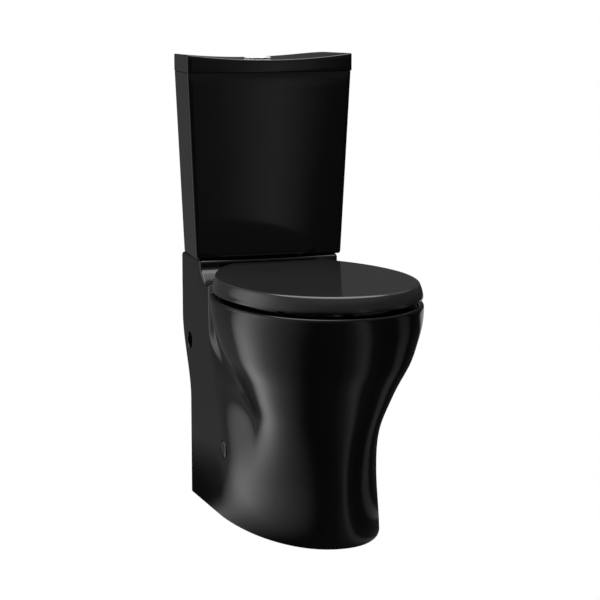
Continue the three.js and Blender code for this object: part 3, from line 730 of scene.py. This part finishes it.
            work(pan, self.fluted_hole(side, S.cap_y, S.cap_z, 5.5, 1.0, S.cap_face_x, 25), Join.CUT)
            work(pan, self.fluted_hole(side, S.cap_y, S.cap_z, 16.4, 0.6, 134.5, 1.9), Join.CUT)
        work(pan, rod(S.fill_x, S.fill_y, 20, 440, 470, 40), Join.CUT)
        dress(pan, GLAZE)
        settle(pan, "toilet_body", "glaze", "pan_skirt", "bowl", "tank_platform", "trapway")


# ------------------------------------------------------------------ the tank and its lid
@dataclass
class Tank:
    """The china tank and its concave lid."""

    rear_round: float = 45.0
    front_round: float = 4.5

    def outline(self, half: float, front: float, rear: float, bow: float, rear_round: float,
                front_round: float) -> list[tuple[float, float]]:
        """The plan outline, from the middle of the front round to it again."""
        right: list[tuple[float, float]] = []
        rear_half = half - 9
        for k in range(0, 33):
            x = (half - front_round) * k / 32
            right.append((x, front - bow * (1 - (x / half) ** 2)))
        for a in quarter(10, 1):
            right.append((half - front_round + front_round * math.sin(a),
                          front + front_round - front_round * math.cos(a)))
        for k in range(1, 16):
            t = k / 16
            right.append((mix(half, rear_half, t), mix(front + front_round, rear - rear_round, t)))
        for a in quarter(20):
            right.append((rear_half - rear_round + rear_round * math.cos(a),
                          rear - rear_round + rear_round * math.sin(a)))
        for k in range(1, 9):
            right.append(((rear_half - rear_round) * (1 - k / 8), rear))
        left = [(-x, y) for x, y in reversed(right[1:-1])]
        return right + left

    def plan(self, z: float, wall: float) -> Ring:
        """The tank's outline at height z, set in by wall."""
        t = (z - S.tank_base_z) / (S.tank_top_z - S.tank_base_z)
        half = mix(S.tank_base_half, S.tank_top_half, t) - wall
        front = mix(S.platform_front_y + 1, S.lid_front_y + 3, t) + wall
        return [(x, y, z) for x, y in self.outline(half, front, S.wall_y - 3 - wall, S.tank_bow,
                                                   self.rear_round - wall, max(2.0, self.front_round - wall))]

    def build_tank(self) -> None:
        """Builds the tank."""
        r = 5.0
        rings: list[Ring] = []
        for a in quarter(6):
            rings.append(self.plan(S.tank_base_z + r * (1 - math.cos(a)), r * (1 - math.sin(a))))
        rings += [self.plan(z, 0.0) for z in np.linspace(S.tank_base_z + 12, S.tank_top_z - 2, 12)]
        rings.append(self.plan(S.tank_top_z - 0.6, 0.3))
        rings.append(self.plan(S.tank_top_z, 1.5))
        tank = loft("tank_china", rings)
        inside = [self.plan(S.tank_base_z + S.tank_floor, S.tank_wall + 6),
                  self.plan(S.tank_base_z + S.tank_floor + 2, S.tank_wall + 2),
                  self.plan(S.tank_base_z + S.tank_floor + 6, S.tank_wall)]
        inside += [self.plan(z, S.tank_wall) for z in (600, 740, S.tank_top_z - 1.5)]
        inside.append(self.plan(S.tank_top_z + 2, S.tank_wall - 2.5))
        work(tank, loft("tank_inside", inside), Join.CUT)
        low, high = S.tank_base_z - 3, S.tank_base_z + 20
        work(tank, rod(0, S.valve_y, 30, low, high, 56), Join.CUT)
        work(tank, rod(S.fill_x, S.fill_y, 12, low, high, 32), Join.CUT)
        for side in Side:
            work(tank, rod(side.value * S.bolt_x, S.bolt_y, S.bolt_hole, low, high, 32), Join.CUT)
        dress(tank, GLAZE)
        settle(tank, "toilet_body", "glaze", "tank")

    def lid_ring(self, inset: float, height: Callable[[float], float]) -> Ring:
        """The lid's outline, set in, at a height that may depend on x."""
        pts = self.outline(S.lid_half - inset, S.lid_front_y + inset, S.wall_y - inset, S.tank_bow,
                           50 - inset, max(1.0, 4.5 - inset))
        return [(x, y, height(x)) for x, y in pts]

    def build_lid(self) -> None:
        """Builds the lid, whose top sinks towards the middle."""
        def top(x: float) -> float:
            """Height of the lid's top over x."""
            return S.lid_z - S.lid_dip * (1 - min(1.0, abs(x) / S.lid_half) ** 2)

        base = S.tank_top_z + 0.3
        r = 2.2
        rings = [self.lid_ring(1.0, lambda x: base), self.lid_ring(0.2, lambda x: base + 0.5),
                 self.lid_ring(0.0, lambda x: base + 1.4)]
        rings += [self.lid_ring(0.0, lambda x, t=t: mix(base + 1.4, top(x) - r, t))
                  for t in (0.25, 0.5, 0.75, 1)]
        for a in quarter(6, 1):
            rings.append(self.lid_ring(r * (1 - math.cos(a)), lambda x, a=a: top(x) - r + r * math.sin(a)))
        for shrink in (0.9, 0.75, 0.5, 0.3, 0.15, 0.05):
            ring = self.lid_ring(r, top)
            rings.append([(x * shrink, S.valve_y + (y - S.valve_y) * shrink, top(x * shrink))
                          for x, y, _ in ring])
        lid = loft("tank_lid_china", rings)
        under = [self.lid_ring(13, lambda x: base - 5), self.lid_ring(13, lambda x: base + 9),
                 self.lid_ring(15, lambda x: base + 11.7)]
        work(lid, loft("under", under), Join.CUT)
        rib = [self.lid_ring(15, lambda x: base - 6), self.lid_ring(15, lambda x: base + 13.7)]
        rib_in = [self.lid_ring(22, lambda x: base - 8), self.lid_ring(22, lambda x: base + 11.7)]
        lip = work(loft("rib", rib), loft("rib_in", rib_in), Join.CUT)
        work(lid, lip, Join.UNION)
        work(lid, rod(0, S.valve_y, 23.6, 800, 850, 64), Join.CUT)
        dress(lid, GLAZE)
        settle(lid, "tank_lid", "glaze", "tank_lid")


# ------------------------------------------------------------------ the seat
@dataclass
class Seat:
    """The seat ring, the wrap-over lid and their hinges."""

    around: int = 240
    fore_power: float = 2.1
    rear_power: float = 1.84
    hole_power: float = 2.25
    lid_knuckle: tuple[float, float] = (35, 52)
    ring_knuckle: tuple[float, float] = (52.5, 69.5)

    def plan(self, turn: float, inset: float, rear_y: float, corner: float) -> tuple[float, float]:
        """A point on a seat outline, from 0 at the front tip round to 1."""
        side = 1 if turn <= 0.5 else -1
        s = 2 * turn if turn <= 0.5 else 2 - 2 * turn
        rear = rear_y - inset
        reach = S.seat_centre_y - S.front_y
        wide = S.seat_half - inset
        if s <= 0.5:
            a = math.pi * s
            return (side * wide * math.sin(a) ** (2 / self.fore_power),
                    S.seat_centre_y - (reach - inset) * max(0.0, math.cos(a)) ** (2 / self.fore_power))

        def half_at(y: float) -> float:
            """Half width behind the middle."""
            share = (y - S.seat_centre_y) / S.seat_rear_reach
            return wide * (1 - share**self.rear_power) ** (1 / self.rear_power)

        turn_y = rear - corner
        if s <= 0.8:
            y = mix(S.seat_centre_y, turn_y, (s - 0.5) / 0.3)
            return side * half_at(y), y
        edge = half_at(turn_y)
        if s <= 0.9:
            a = math.pi / 2 * ((s - 0.8) / 0.1)
            y = turn_y + corner * math.sin(a)
            return side * min(half_at(y), edge - corner + corner * math.cos(a)), y
        return side * min(half_at(rear), edge - corner) * (1 - (s - 0.9) / 0.1), rear

    def slab(self, name: str, levels: Sequence[tuple[float, float]], rear_y: float,
             corner: float, shrink: Sequence[tuple[float, float]] = ()) -> bpy.types.Object:
        """A slab with the seat's outline.

        Args:
            name: The object's name.
            levels: (height, inset) pairs from the bottom up.
            rear_y: Where the flat rear edge lies.
            corner: The radius of the rear corners.
            shrink: (height, share) pairs that close the top in a shallow crown.
        Returns:
            The new object.
        """
        rings = []
        for z, inset in levels:
            rings.append([(*self.plan(i / self.around, inset, rear_y, corner), z)
                          for i in range(self.around)])
        last = rings[-1]
        for z, share in shrink:
            rings.append([(x * share, S.seat_centre_y + 20 + (y - S.seat_centre_y - 20) * share, z)
                          for x, y, _ in last])
        return loft(name, rings)

    def knuckle(self, obj: bpy.types.Object, side: Side, x0: float, x1: float, y0: float, y1: float,
                z0: float, z1: float) -> None:
        """Adds a hinge knuckle about the hinge axis and the web that carries it."""
        low, high = sorted((side.value * x0, side.value * x1))
        profile = [(7.8, low), (9.0, low + 1.2), (9.0, high - 1.2), (7.8, high)]
        work(obj, lay_along_x(turned("knuckle", 0, 0, profile, 40), S.hinge_y, S.hinge_z), Join.UNION)
        work(obj, block("web", low + 0.4, high - 0.4, y0, y1, z0, z1, 1.0), Join.UNION)

    def bore(self, obj: bpy.types.Object) -> None:
        """Bores the knuckles for the pin."""
        work(obj, lay_along_x(rod(0, 0, S.pin_bore, -112, 112, 32), S.hinge_y, S.hinge_z), Join.CUT)

    def build_lid(self) -> None:
        """Builds the wrap-over lid."""
        low, top = S.seat_low_z, S.seat_top_z
        levels = [(low, 2.6), (low + 0.3, 1.4), (low + 1.0, 0.4), (low + 2.2, 0.0)]
        levels += [(low + 2.2 + 21.8 * t, 5.6 * t**1.7) for t in (0.12, 0.25, 0.38, 0.5, 0.62, 0.75, 0.88, 1)]
        for a in quarter(8, 1):
            levels.append((low + 24 + (top - low - 24.3) * math.sin(a), 5.6 + 5 * (1 - math.cos(a)) + a))
        lid = self.slab("seat_lid_shell", levels, S.seat_rear_y, 26,
                        [(top - 0.1, 0.93), (top + 0.25, 0.8), (top + 0.5, 0.6), (top + 0.7, 0.35),
                         (top + 0.8, 0.12)])
        pocket = self.slab("pocket", [(low - 2, 5.0), (450.5, 5.0), (452.6, 6.2), (453.4, 9.0)],
                           S.seat_rear_y, 24)
        work(lid, pocket, Join.CUT)
        work(lid, block("rear_gap", -91, 91, 132, 150, 420, 453.4), Join.CUT)
        for side in Side:
            self.knuckle(lid, side, *self.lid_knuckle, S.hinge_y - 8, S.hinge_y + 8, S.hinge_z, 455)
        self.bore(lid)
        dress(lid, SEAT, 40)
        settle(lid, "seat_lid", "seat_plastic", "seat_lid")

    def build_ring(self) -> None:
        """Builds the seat ring."""
        low, top = S.ring_low_z, S.ring_top_z
        levels = [(low, 12.5), (low + 0.4, 10.8), (low + 1.4, 9.6), (low + 3, 9.0), (low + 8, 9.0)]
        for a in quarter(8, 1):
            levels.append((low + 8 + (top - low - 8) * math.sin(a), 9.0 + 10 * (1 - math.cos(a))))
        ring = self.slab("seat_ring_body", levels, 126, 42)
        hole = []
        for z, grow in [(low - 1, 2.0), (low, 2.0), (low + 1.5, 0.0), (low + 8, 0.0), (low + 12, 1.5),
                        (low + 15, 4.5), (top - 1, 7.5), (top, 11.5), (top + 2, 11.5)]:
            hole.append(oval(106 + grow, 140 + grow, -100, z, self.hole_power))
        work(ring, loft("ring_hole", hole), Join.CUT)
        for side in Side:
            self.knuckle(ring, side, *self.ring_knuckle, 98, S.hinge_y, S.hinge_z - 8, top - 1)
        self.bore(ring)
        dress(ring, SEAT, 40)
        settle(ring, "seat_ring", "seat_plastic", "seat_ring")


# ------------------------------------------------------------------ buttons
@dataclass
class FlushButtons:
    """The round bezel in the tank lid with its two buttons."""

    def build(self) -> None:
        """Builds the bezel and both buttons."""
        base = S.lid_z - S.lid_dip + 0.6
        bezel = turned("bezel_ring", 0, S.valve_y,
                       [(20.6, 806), (22.6, 804), (23.2, 805), (23.2, base), (25.2, base), (25.5, base + 0.4),
                        (25.3, base + 1.4), (24.4, base + 2.2), (23.0, base + 2.5), (21.6, base + 2.3),
                        (20.8, base + 1.6), (20.6, base + 0.8), (20.6, 806)], 96)
        dress(bezel, CHROMED)
        settle(bezel, "tank_lid", "chromed_plastic", "button_bezel")
        for name, low, high in (("full_flush_button", -7.7, 30.0), ("half_flush_button", -30.0, -8.3)):
            dome = [(0.01, 822), (20, 822), (20, 834.6)]
            dome += [(20 - 20 * (1 - math.cos(a)) * 0.98 - 0.2, 835.0 + 4.0 * math.sin(a) ** 0.9)
                     for a in quarter(14)]
            dome[-1] = (0.01, 839.0)
            button = turned(name + "_cap", 0, S.valve_y, dome, 96)
            work(button, block("half", low, high, 200, 280, 800, 850), Join.KEEP_COMMON)
            dress(button, CHROMED, 30)
            settle(button, name, "chromed_plastic", name)


# ------------------------------------------------------------------ repeated pieces by Geometry Nodes
class Tree:
    """A Geometry Nodes tree in the making, with named number inputs."""

    def __init__(self, name: str) -> None:
        """Starts an empty tree with one geometry output."""
        self.group = bpy.data.node_groups.new(name, "GeometryNodeTree")
        self.group.interface.new_socket("Geometry", in_out="INPUT", socket_type="NodeSocketGeometry")
        self.group.interface.new_socket("Geometry", in_out="OUTPUT", socket_type="NodeSocketGeometry")
        self.values: dict[str, float] = {}
        self.source = self.group.nodes.new("NodeGroupInput")
        self.sink = self.group.nodes.new("NodeGroupOutput")

    def number(self, name: str, value: float) -> bpy.types.NodeSocket:
        """Adds a named number input and gives its socket."""
        whole = isinstance(value, int)
        self.group.interface.new_socket(name, in_out="INPUT",
                                        socket_type="NodeSocketInt" if whole else "NodeSocketFloat")
        self.values[name] = value
        return self.source.outputs[name]

    def add(self, kind: str, **links: object) -> bpy.types.Node:
        """Adds a node; a socket value is linked and any other is set."""
        node = self.group.nodes.new(kind)
        for name, value in links.items():
            key = name.replace("_", " ")
            if key in node.inputs:
                if isinstance(value, bpy.types.NodeSocket):
                    self.group.links.new(value, node.inputs[key])
                else:
                    node.inputs[key].default_value = value
            else:
                setattr(node, name, value)
        return node

    def finish(self, name: str, geometry: bpy.types.NodeSocket, finish: Finish) -> bpy.types.Object:
        """Ends the tree, runs it and gives the plain mesh object.

        Args:
            name: The new object's name.
            geometry: The socket with the finished instances.
            finish: What the pieces are made of.
        Returns:
            The new object, with no modifier left.
        """
        real = self.add("GeometryNodeRealizeInstances", Geometry=geometry)
        dressed = self.add("GeometryNodeSetMaterial", Geometry=real.outputs["Geometry"])
        material = finish.build()
        dressed.inputs["Material"].default_value = material
        self.group.links.new(dressed.outputs["Geometry"], self.sink.inputs["Geometry"])
        carrier = new_object(name + "_carrier", bpy.data.meshes.new(name + "_seed"))
        modifier = carrier.modifiers.new("repeat", "NODES")
        modifier.node_group = self.group
        for item in self.group.interface.items_tree:
            if item.in_out == "INPUT" and item.name in self.values:
                modifier[item.identifier] = self.values[item.name]
        graph = bpy.context.evaluated_depsgraph_get()
        mesh = bpy.data.meshes.new_from_object(carrier.evaluated_get(graph), depsgraph=graph)
        bpy.data.objects.remove(carrier)
        mesh.name = name
        obj = new_object(name, mesh)
        if not obj.data.materials:
            obj.data.materials.append(material)
        return obj


def ring_of_bars(name: str, finish: Finish, x: float, y: float, z0: float, z1: float, radius: float,
                 thick: float, count: int) -> bpy.types.Object:
    """Upright bars or grips in a ring.

    Args:
        name: The object's name.
        finish: What the bars are made of.
        x: Middle of the ring.
        y: Middle of the ring.
        z0: Foot of the bars.
        z1: Top of the bars.
        radius: Distance of each bar from the middle.
        thick: Diameter of a bar.
        count: How many bars.
    Returns:
        The bars as one object.
    """
    tree = Tree(name + "_tree")
    circle = tree.add("GeometryNodeMeshCircle", Vertices=tree.number("Bars", count),
                      Radius=tree.number("Ring radius", radius * MM))
    bar = tree.add("GeometryNodeMeshCylinder", Vertices=8, Radius=tree.number("Bar radius", thick * MM / 2),
                   Depth=tree.number("Bar height", (z1 - z0) * MM))
    spread = tree.add("GeometryNodeInstanceOnPoints", Points=circle.outputs["Mesh"],
                      Instance=bar.outputs["Mesh"])
    moved = tree.add("GeometryNodeTransform", Geometry=spread.outputs["Instances"],
                     Translation=(x * MM, y * MM, (z0 + z1) / 2 * MM))
    return tree.finish(name, moved.outputs["Geometry"], finish)


def join(base: bpy.types.Object, *others: bpy.types.Object) -> bpy.types.Object:
    """Puts the meshes of several objects of one finish into the first."""
    bm = bmesh.new()
    bm.from_mesh(base.data)
    for other in others:
        bm.from_mesh(other.data)
        bpy.data.objects.remove(other)
    bm.to_mesh(base.data)
    bm.free()
    return base


@dataclass
class Fixings:
    """Side caps, hinge posts, bumpers and the nuts with finger grips."""

    def side_cap(self, side: Side) -> None:
        """The slightly domed cover over a side screw, filling its recess."""
        face = S.cap_face_x
        profile = [(0.01, face + 3.8), (12.0, face + 3.8), (12.0, face + 0.4), (15.2, face + 0.4),
                   (15.9, face + 1.0), (16.1, face + 4.2)]
        profile += [(16.1 - 16.09 * (k / 12), face + 4.4 + 1.7 * math.sin(math.acos(1 - k / 12)) ** 0.8)
                    for k in range(1, 13)]
        cap = turned("side_cap", 0, 0, profile, 72)
        lay_along_x(cap, S.cap_y, S.cap_z, side.value)
        dress(cap, SEAT, 40)
        settle(cap, "toilet_body", "seat_plastic", f"side_cap_{side.name.lower()}")

    def hinge_post(self, side: Side) -> None:
        """The chromed post on its round foot."""
        x = side.value * S.post_x
        post = turned("hinge_post", x, S.hinge_y,
                      [(4.6, 423.2), (10.9, 423.2), (11.4, 423.7), (11.4, 424.9), (10.8, 426.0), (9.4, 426.4),
                       (4.6, 426.4), (4.6, 423.2)], 56)
        work(post, block("neck", x - 6.8, x + 6.8, S.hinge_y - 8.6, S.hinge_y + 8.6, 424.4, S.hinge_z, 1.2),
             Join.UNION)
        low, high = x - 6.8, x + 6.8
        eye = turned("eye", 0, 0, [(8.0, low), (8.8, low + 0.8), (8.8, high - 0.8), (8.0, high)], 48)
        work(post, lay_along_x(eye, S.hinge_y, S.hinge_z), Join.UNION)
        work(post, lay_along_x(rod(0, 0, S.pin_bore, x - 12, x + 12, 32), S.hinge_y, S.hinge_z), Join.CUT)
        work(post, rod(x, S.hinge_y, 4.5, 418, 433.3, 32), Join.CUT)
        dress(post, CHROME)
        settle(post, "toilet_body", "chrome", f"hinge_post_{side.name.lower()}")

    def bumper(self, name: str, body: str, x: float, y: float, z0: float, z1: float, radius: float) -> None:
        """A soft pad with three pressed rings, a rounded edge and a small dish."""
        profile = [(0.01, z1), (radius - 1.2, z1), (radius - 0.3, z1 - 0.5), (radius, z1 - 1.4),
                   (radius - 0.4, z0 + 1.6), (radius - 0.9, z0 + 0.5), (radius - 1.9, z0)]
        profile += [(r, z0 + 0.35 * ((k + 1) % 2)) for k, r in enumerate((radius * 0.72, radius * 0.62,
                                                                            radius * 0.5, radius * 0.4))]
        profile.append((0.01, z0 + 0.5))
        pad = turned(name, x, y, profile, 48)
        dress(pad, BLACK_RUBBER)
        settle(pad, body, "black_rubber", name)

    def grip_nut(self, name: str, hole: float, grips: int, finish: Finish = WHITE) -> None:
        """A round plastic nut with finger grips round it, in the space of its CAD node.

        Args:
            name: The node's name.
            hole: Radius of the hole through it.
            grips: How many grips it has.
            finish: What it is moulded in.
        """
        low, high = (Vector(c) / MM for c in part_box(name))
        x, y = (low.x + high.x) / 2, (low.y + high.y) / 2
        radius, z0, z1 = (high.x - low.x) / 2, low.z, high.z
        nut = turned(name, x, y, [(hole, z0), (radius - 1.6, z0), (radius - 1.0, z0 + 0.6),
                                  (radius - 1.0, z1 - 0.6), (radius - 1.6, z1), (hole, z1), (hole, z0)], 64)
        inset = 0.08 * (z1 - z0)
        bars = ring_of_bars(name + "_grips", finish, x, y, z0 + inset, z1 - inset, radius - 1.1, 2.0, grips)
        dress(nut, finish)
        settle(join(nut, bars), "tank_lid" if name == "button_nut" else "toilet_body", "white_plastic", name)

    def build(self) -> None:
        """Builds every fixing."""
        for side in Side:
            word, sign = side.name.lower(), side.value
            self.side_cap(side)
            self.hinge_post(side)
            for end, x, y in (("front", 108.0, -215.0), ("rear", 116.0, 60.0)):
                self.bumper(f"ring_bumper_{end}_{word}", "seat_ring", sign * x, y, S.rim_z + 0.5,
                            S.ring_low_z - 0.3, 9.8)
            self.bumper(f"lid_bumper_{word}", "seat_lid", sign * 122.0, -190.0, S.ring_top_z + 0.4, 453.0,
                        7.9)
            self.grip_nut(f"tank_bolt_nut_{word}", 5.0, 12)
        self.grip_nut("button_nut", 24.0, 24)
        self.grip_nut("flush_valve_nut", 32.0, 16)
        self.grip_nut("fill_valve_nut", 11.0, 12)


# ------------------------------------------------------------------ pieces that keep their CAD mesh
PLAIN_FINISHES: dict[str, Finish] = {
    "glaze": GLAZE, "seat_plastic": SEAT, "chromed_plastic": CHROMED, "chrome": CHROME, "steel": ZINC,
    "white_plastic": WHITE, "grey_plastic": GREY, "black_rubber": BLACK_RUBBER, "red_rubber": RED_RUBBER,
}


def dress_carried_nodes() -> None:
    """Gives the CAD nodes that no finished piece stands for their finishes."""
    slots = {s["node"]: s["material_slot"] for s in frame["record"]["subparts"]}
    for name, node in frame["nodes"].items():
        if name in TAKEN:
            continue
        node.data.materials.clear()
        node.data.materials.append(PLAIN_FINISHES[slots[name]].build())
        log.info("%s keeps its CAD mesh in %s", name, slots[name])


# ------------------------------------------------------------------ studio
@dataclass
class Studio:
    """White floor and surround for the eye, with soft light panels for the gloss to pick up."""

    azimuth: float = -19.5
    elevation: float = 9.1
    distance: float = 3.640
    lens: float = 117.9
    target: tuple[float, float, float] = (0.0, 0.0695, 0.3944)
    aside: float = 0.0239
    gain: float = 4.0
    # (bearing in degrees from straight in front towards the right, brightness)
    low_light: tuple[tuple[float, float], ...] = (
        (-180, 0.10), (-158, 0.115), (-138, 0.17), (-127, 1.15), (-119, 1.5), (-111, 1.42), (-100, 1.02),
        (-90, 0.70), (-75, 0.44), (-60, 0.27), (-49, 0.15), (-40, 0.06), (-30, 0.03), (0, 0.05),
        (11, 0.12), (20, 0.34), (28, 0.06), (45, 0.03), (62, 0.03), (70, 0.13), (80, 0.13), (92, 0.012),
        (150, 0.03), (165, 0.10))
    high_light: tuple[tuple[float, float], ...] = (
        (-180, 0.06), (-150, 0.15), (-137, 1.0), (-125, 1.6), (-112, 1.6), (-90, 0.7), (-60, 0.25),
        (-20, 0.12), (20, 0.16), (45, 0.1), (110, 0.05), (150, 0.06), (180, 0.06))

    def bearing_ramp(self, tree: bpy.types.NodeTree, vector: bpy.types.NodeSocket,
                     stops: tuple[tuple[float, float], ...]) -> bpy.types.NodeSocket:
        """Brightness that changes with the bearing of a vector.

        Args:
            tree: The node tree to add to.
            vector: The socket that gives the vector.
            stops: (bearing, brightness) pairs.
        Returns:
            The socket with the brightness, divided by the gain.
        """
        split = add_node(tree, "ShaderNodeSeparateXYZ", {"Vector": vector})
        flip = add_node(tree, "ShaderNodeMath", {0: split.outputs["Y"], 1: -1.0}, operation="MULTIPLY")
        angle = add_node(tree, "ShaderNodeMath", {0: split.outputs["X"], 1: flip.outputs[0]},
                         operation="ARCTAN2")
        span = add_node(tree, "ShaderNodeMapRange",
                        {"From Min": -math.pi, "From Max": math.pi, "Value": angle.outputs[0]})
        ramp = add_node(tree, "ShaderNodeValToRGB", {"Fac": span.outputs["Result"]})
        band = ramp.color_ramp
        while len(band.elements) < len(stops):
            band.elements.new(0.5)
        for element, (bearing, bright) in zip(band.elements, stops):
            element.position = (bearing + 180) / 360
            element.color = (*([bright / self.gain] * 3), 1)
        return ramp.outputs["Color"]

    def blend(self, tree: bpy.types.NodeTree, share: bpy.types.NodeSocket, a: bpy.types.NodeSocket | float,
              b: bpy.types.NodeSocket | float) -> bpy.types.NodeSocket:
        """A colour between a and b by share."""
        a, b = ((v, v, v, 1) if isinstance(v, float) else v for v in (a, b))
        pick = add_node(tree, "ShaderNodeMix", {"Factor": share, "A": a, "B": b}, data_type="RGBA")
        return pick.outputs["Result"]

    def rise(self, tree: bpy.types.NodeTree, value: bpy.types.NodeSocket, low: float,
             high: float) -> bpy.types.NodeSocket:
        """A smooth step from 0 at low to 1 at high."""
        span = add_node(tree, "ShaderNodeMapRange", {"From Min": low, "From Max": high, "Value": value},
                        interpolation_type="SMOOTHSTEP")
        return span.outputs["Result"]

    def away_from(self, tree: bpy.types.NodeTree, where: bpy.types.NodeSocket, shift: Sequence[float],
                  scale: Sequence[float], near: float, far: float) -> bpy.types.NodeSocket:
        """A smooth step over the distance of a shifted and scaled place, from 0 at near to 1 at far."""
        place = add_node(tree, "ShaderNodeMapping", {"Vector": where, "Location": shift, "Scale": scale})
        away = add_node(tree, "ShaderNodeVectorMath", {0: place.outputs["Vector"]}, operation="LENGTH")
        return self.rise(tree, away.outputs["Value"], near, far)

    def white_to_the_eye(self, tree: bpy.types.NodeTree,
                         colour: bpy.types.NodeSocket) -> bpy.types.NodeSocket:
        """White to the camera, and that colour in reflections."""
        eye = add_node(tree, "ShaderNodeLightPath", {}).outputs["Is Camera Ray"]
        return self.blend(tree, eye, colour, 1.0 / self.gain)

    def floor(self) -> None:
        """Lays the floor: white to the eye and dim in reflections, with a painted shadow of the toilet close
        behind it and a painted pool of light further off to the right and behind.
        """
        bm = bmesh.new()
        bmesh.ops.create_grid(bm, x_segments=1, y_segments=1, size=14.0)
        mesh = bpy.data.meshes.new("floor")
        bm.to_mesh(mesh)
        bm.free()
        floor = new_object("floor", mesh)
        mat = bpy.data.materials.new("floor_white")
        mat.use_nodes = True
        tree = mat.node_tree
        tree.nodes.clear()
        where = add_node(tree, "ShaderNodeTexCoord", {}).outputs["Object"]
        # painted shadow: seen in reflections, the floor goes nearly black close behind the toilet, where its
        # shadow would fall
        behind = self.away_from(tree, where, (0.0, -0.35, 0.0), (1.6, 1.0, 1.0), 0.26, 0.6)
        dim = self.blend(tree, behind, 0.003, self.bearing_ramp(tree, where, self.low_light))
        # painted pool of light: a brighter disc of floor to the right and behind the toilet, seen in
        # reflections
        painted_light_pool = self.away_from(tree, where, (-1.5, -1.9, 0.0), (1.0, 1.0, 1.0), 0.6, 1.1)
        dim = self.blend(tree, painted_light_pool, 0.5 / self.gain, dim)
        glow = add_node(tree, "ShaderNodeEmission",
                        {"Strength": self.gain, "Color": self.white_to_the_eye(tree, dim)})
        add_node(tree, "ShaderNodeOutputMaterial", {"Surface": glow.outputs["Emission"]})
        floor.data.materials.append(mat)

    def world(self) -> None:
        """The surround: white to the eye, with a panel of light at the left and one overhead."""
        world = bpy.data.worlds.new("studio")
        bpy.context.scene.world = world
        world.use_nodes = True
        tree = world.node_tree
        where = add_node(tree, "ShaderNodeTexCoord", {}).outputs["Generated"]
        split = add_node(tree, "ShaderNodeSeparateXYZ", {"Vector": where})
        around = self.blend(tree, self.rise(tree, split.outputs["Z"], -0.02, 0.09),
                            self.bearing_ramp(tree, where, self.low_light),
                            self.bearing_ramp(tree, where, self.high_light))
        lower = self.blend(tree, self.rise(tree, split.outputs["Z"], 0.3, 0.6), around, 0.4 / self.gain)
        upper = self.blend(tree, self.rise(tree, split.outputs["Z"], 0.72, 0.84), lower, 4.2 / self.gain)
        back = tree.nodes["Background"]
        tree.links.new(self.white_to_the_eye(tree, upper), back.inputs["Color"])
        back.inputs["Strength"].default_value = self.gain

    def camera(self) -> None:
        """Sets the camera."""
        a, e = math.radians(self.azimuth), math.radians(self.elevation)
        back = Vector((math.sin(a) * math.cos(e), -math.cos(a) * math.cos(e), math.sin(e)))
        right = Vector((math.cos(a), math.sin(a), 0.0))
        target = Vector(self.target) + right * self.aside
        data = bpy.data.cameras.new("camera")
        data.lens = self.lens
        data.sensor_width = 36.0
        data.clip_end = 60.0
        cam = bpy.data.objects.new("camera", data)
        cam.location = target + back * self.distance
        cam.rotation_euler = (-back).to_track_quat("-Z", "Y").to_euler()
        bpy.context.scene.collection.objects.link(cam)
        bpy.context.scene.camera = cam

    def build(self) -> None:
        """Sets up the whole studio."""
        bpy.context.scene.view_settings.view_transform = "Standard"
        self.floor()
        self.world()
        self.camera()


def main() -> None:
    """Builds the toilet and its studio."""
    Pan().build()
    tank = Tank()
    tank.build_tank()
    tank.build_lid()
    seat = Seat()
    seat.build_lid()
    seat.build_ring()
    FlushButtons().build()
    Fixings().build()
    dress_carried_nodes()
    Studio().build()


if __name__ == "__main__":
    main()
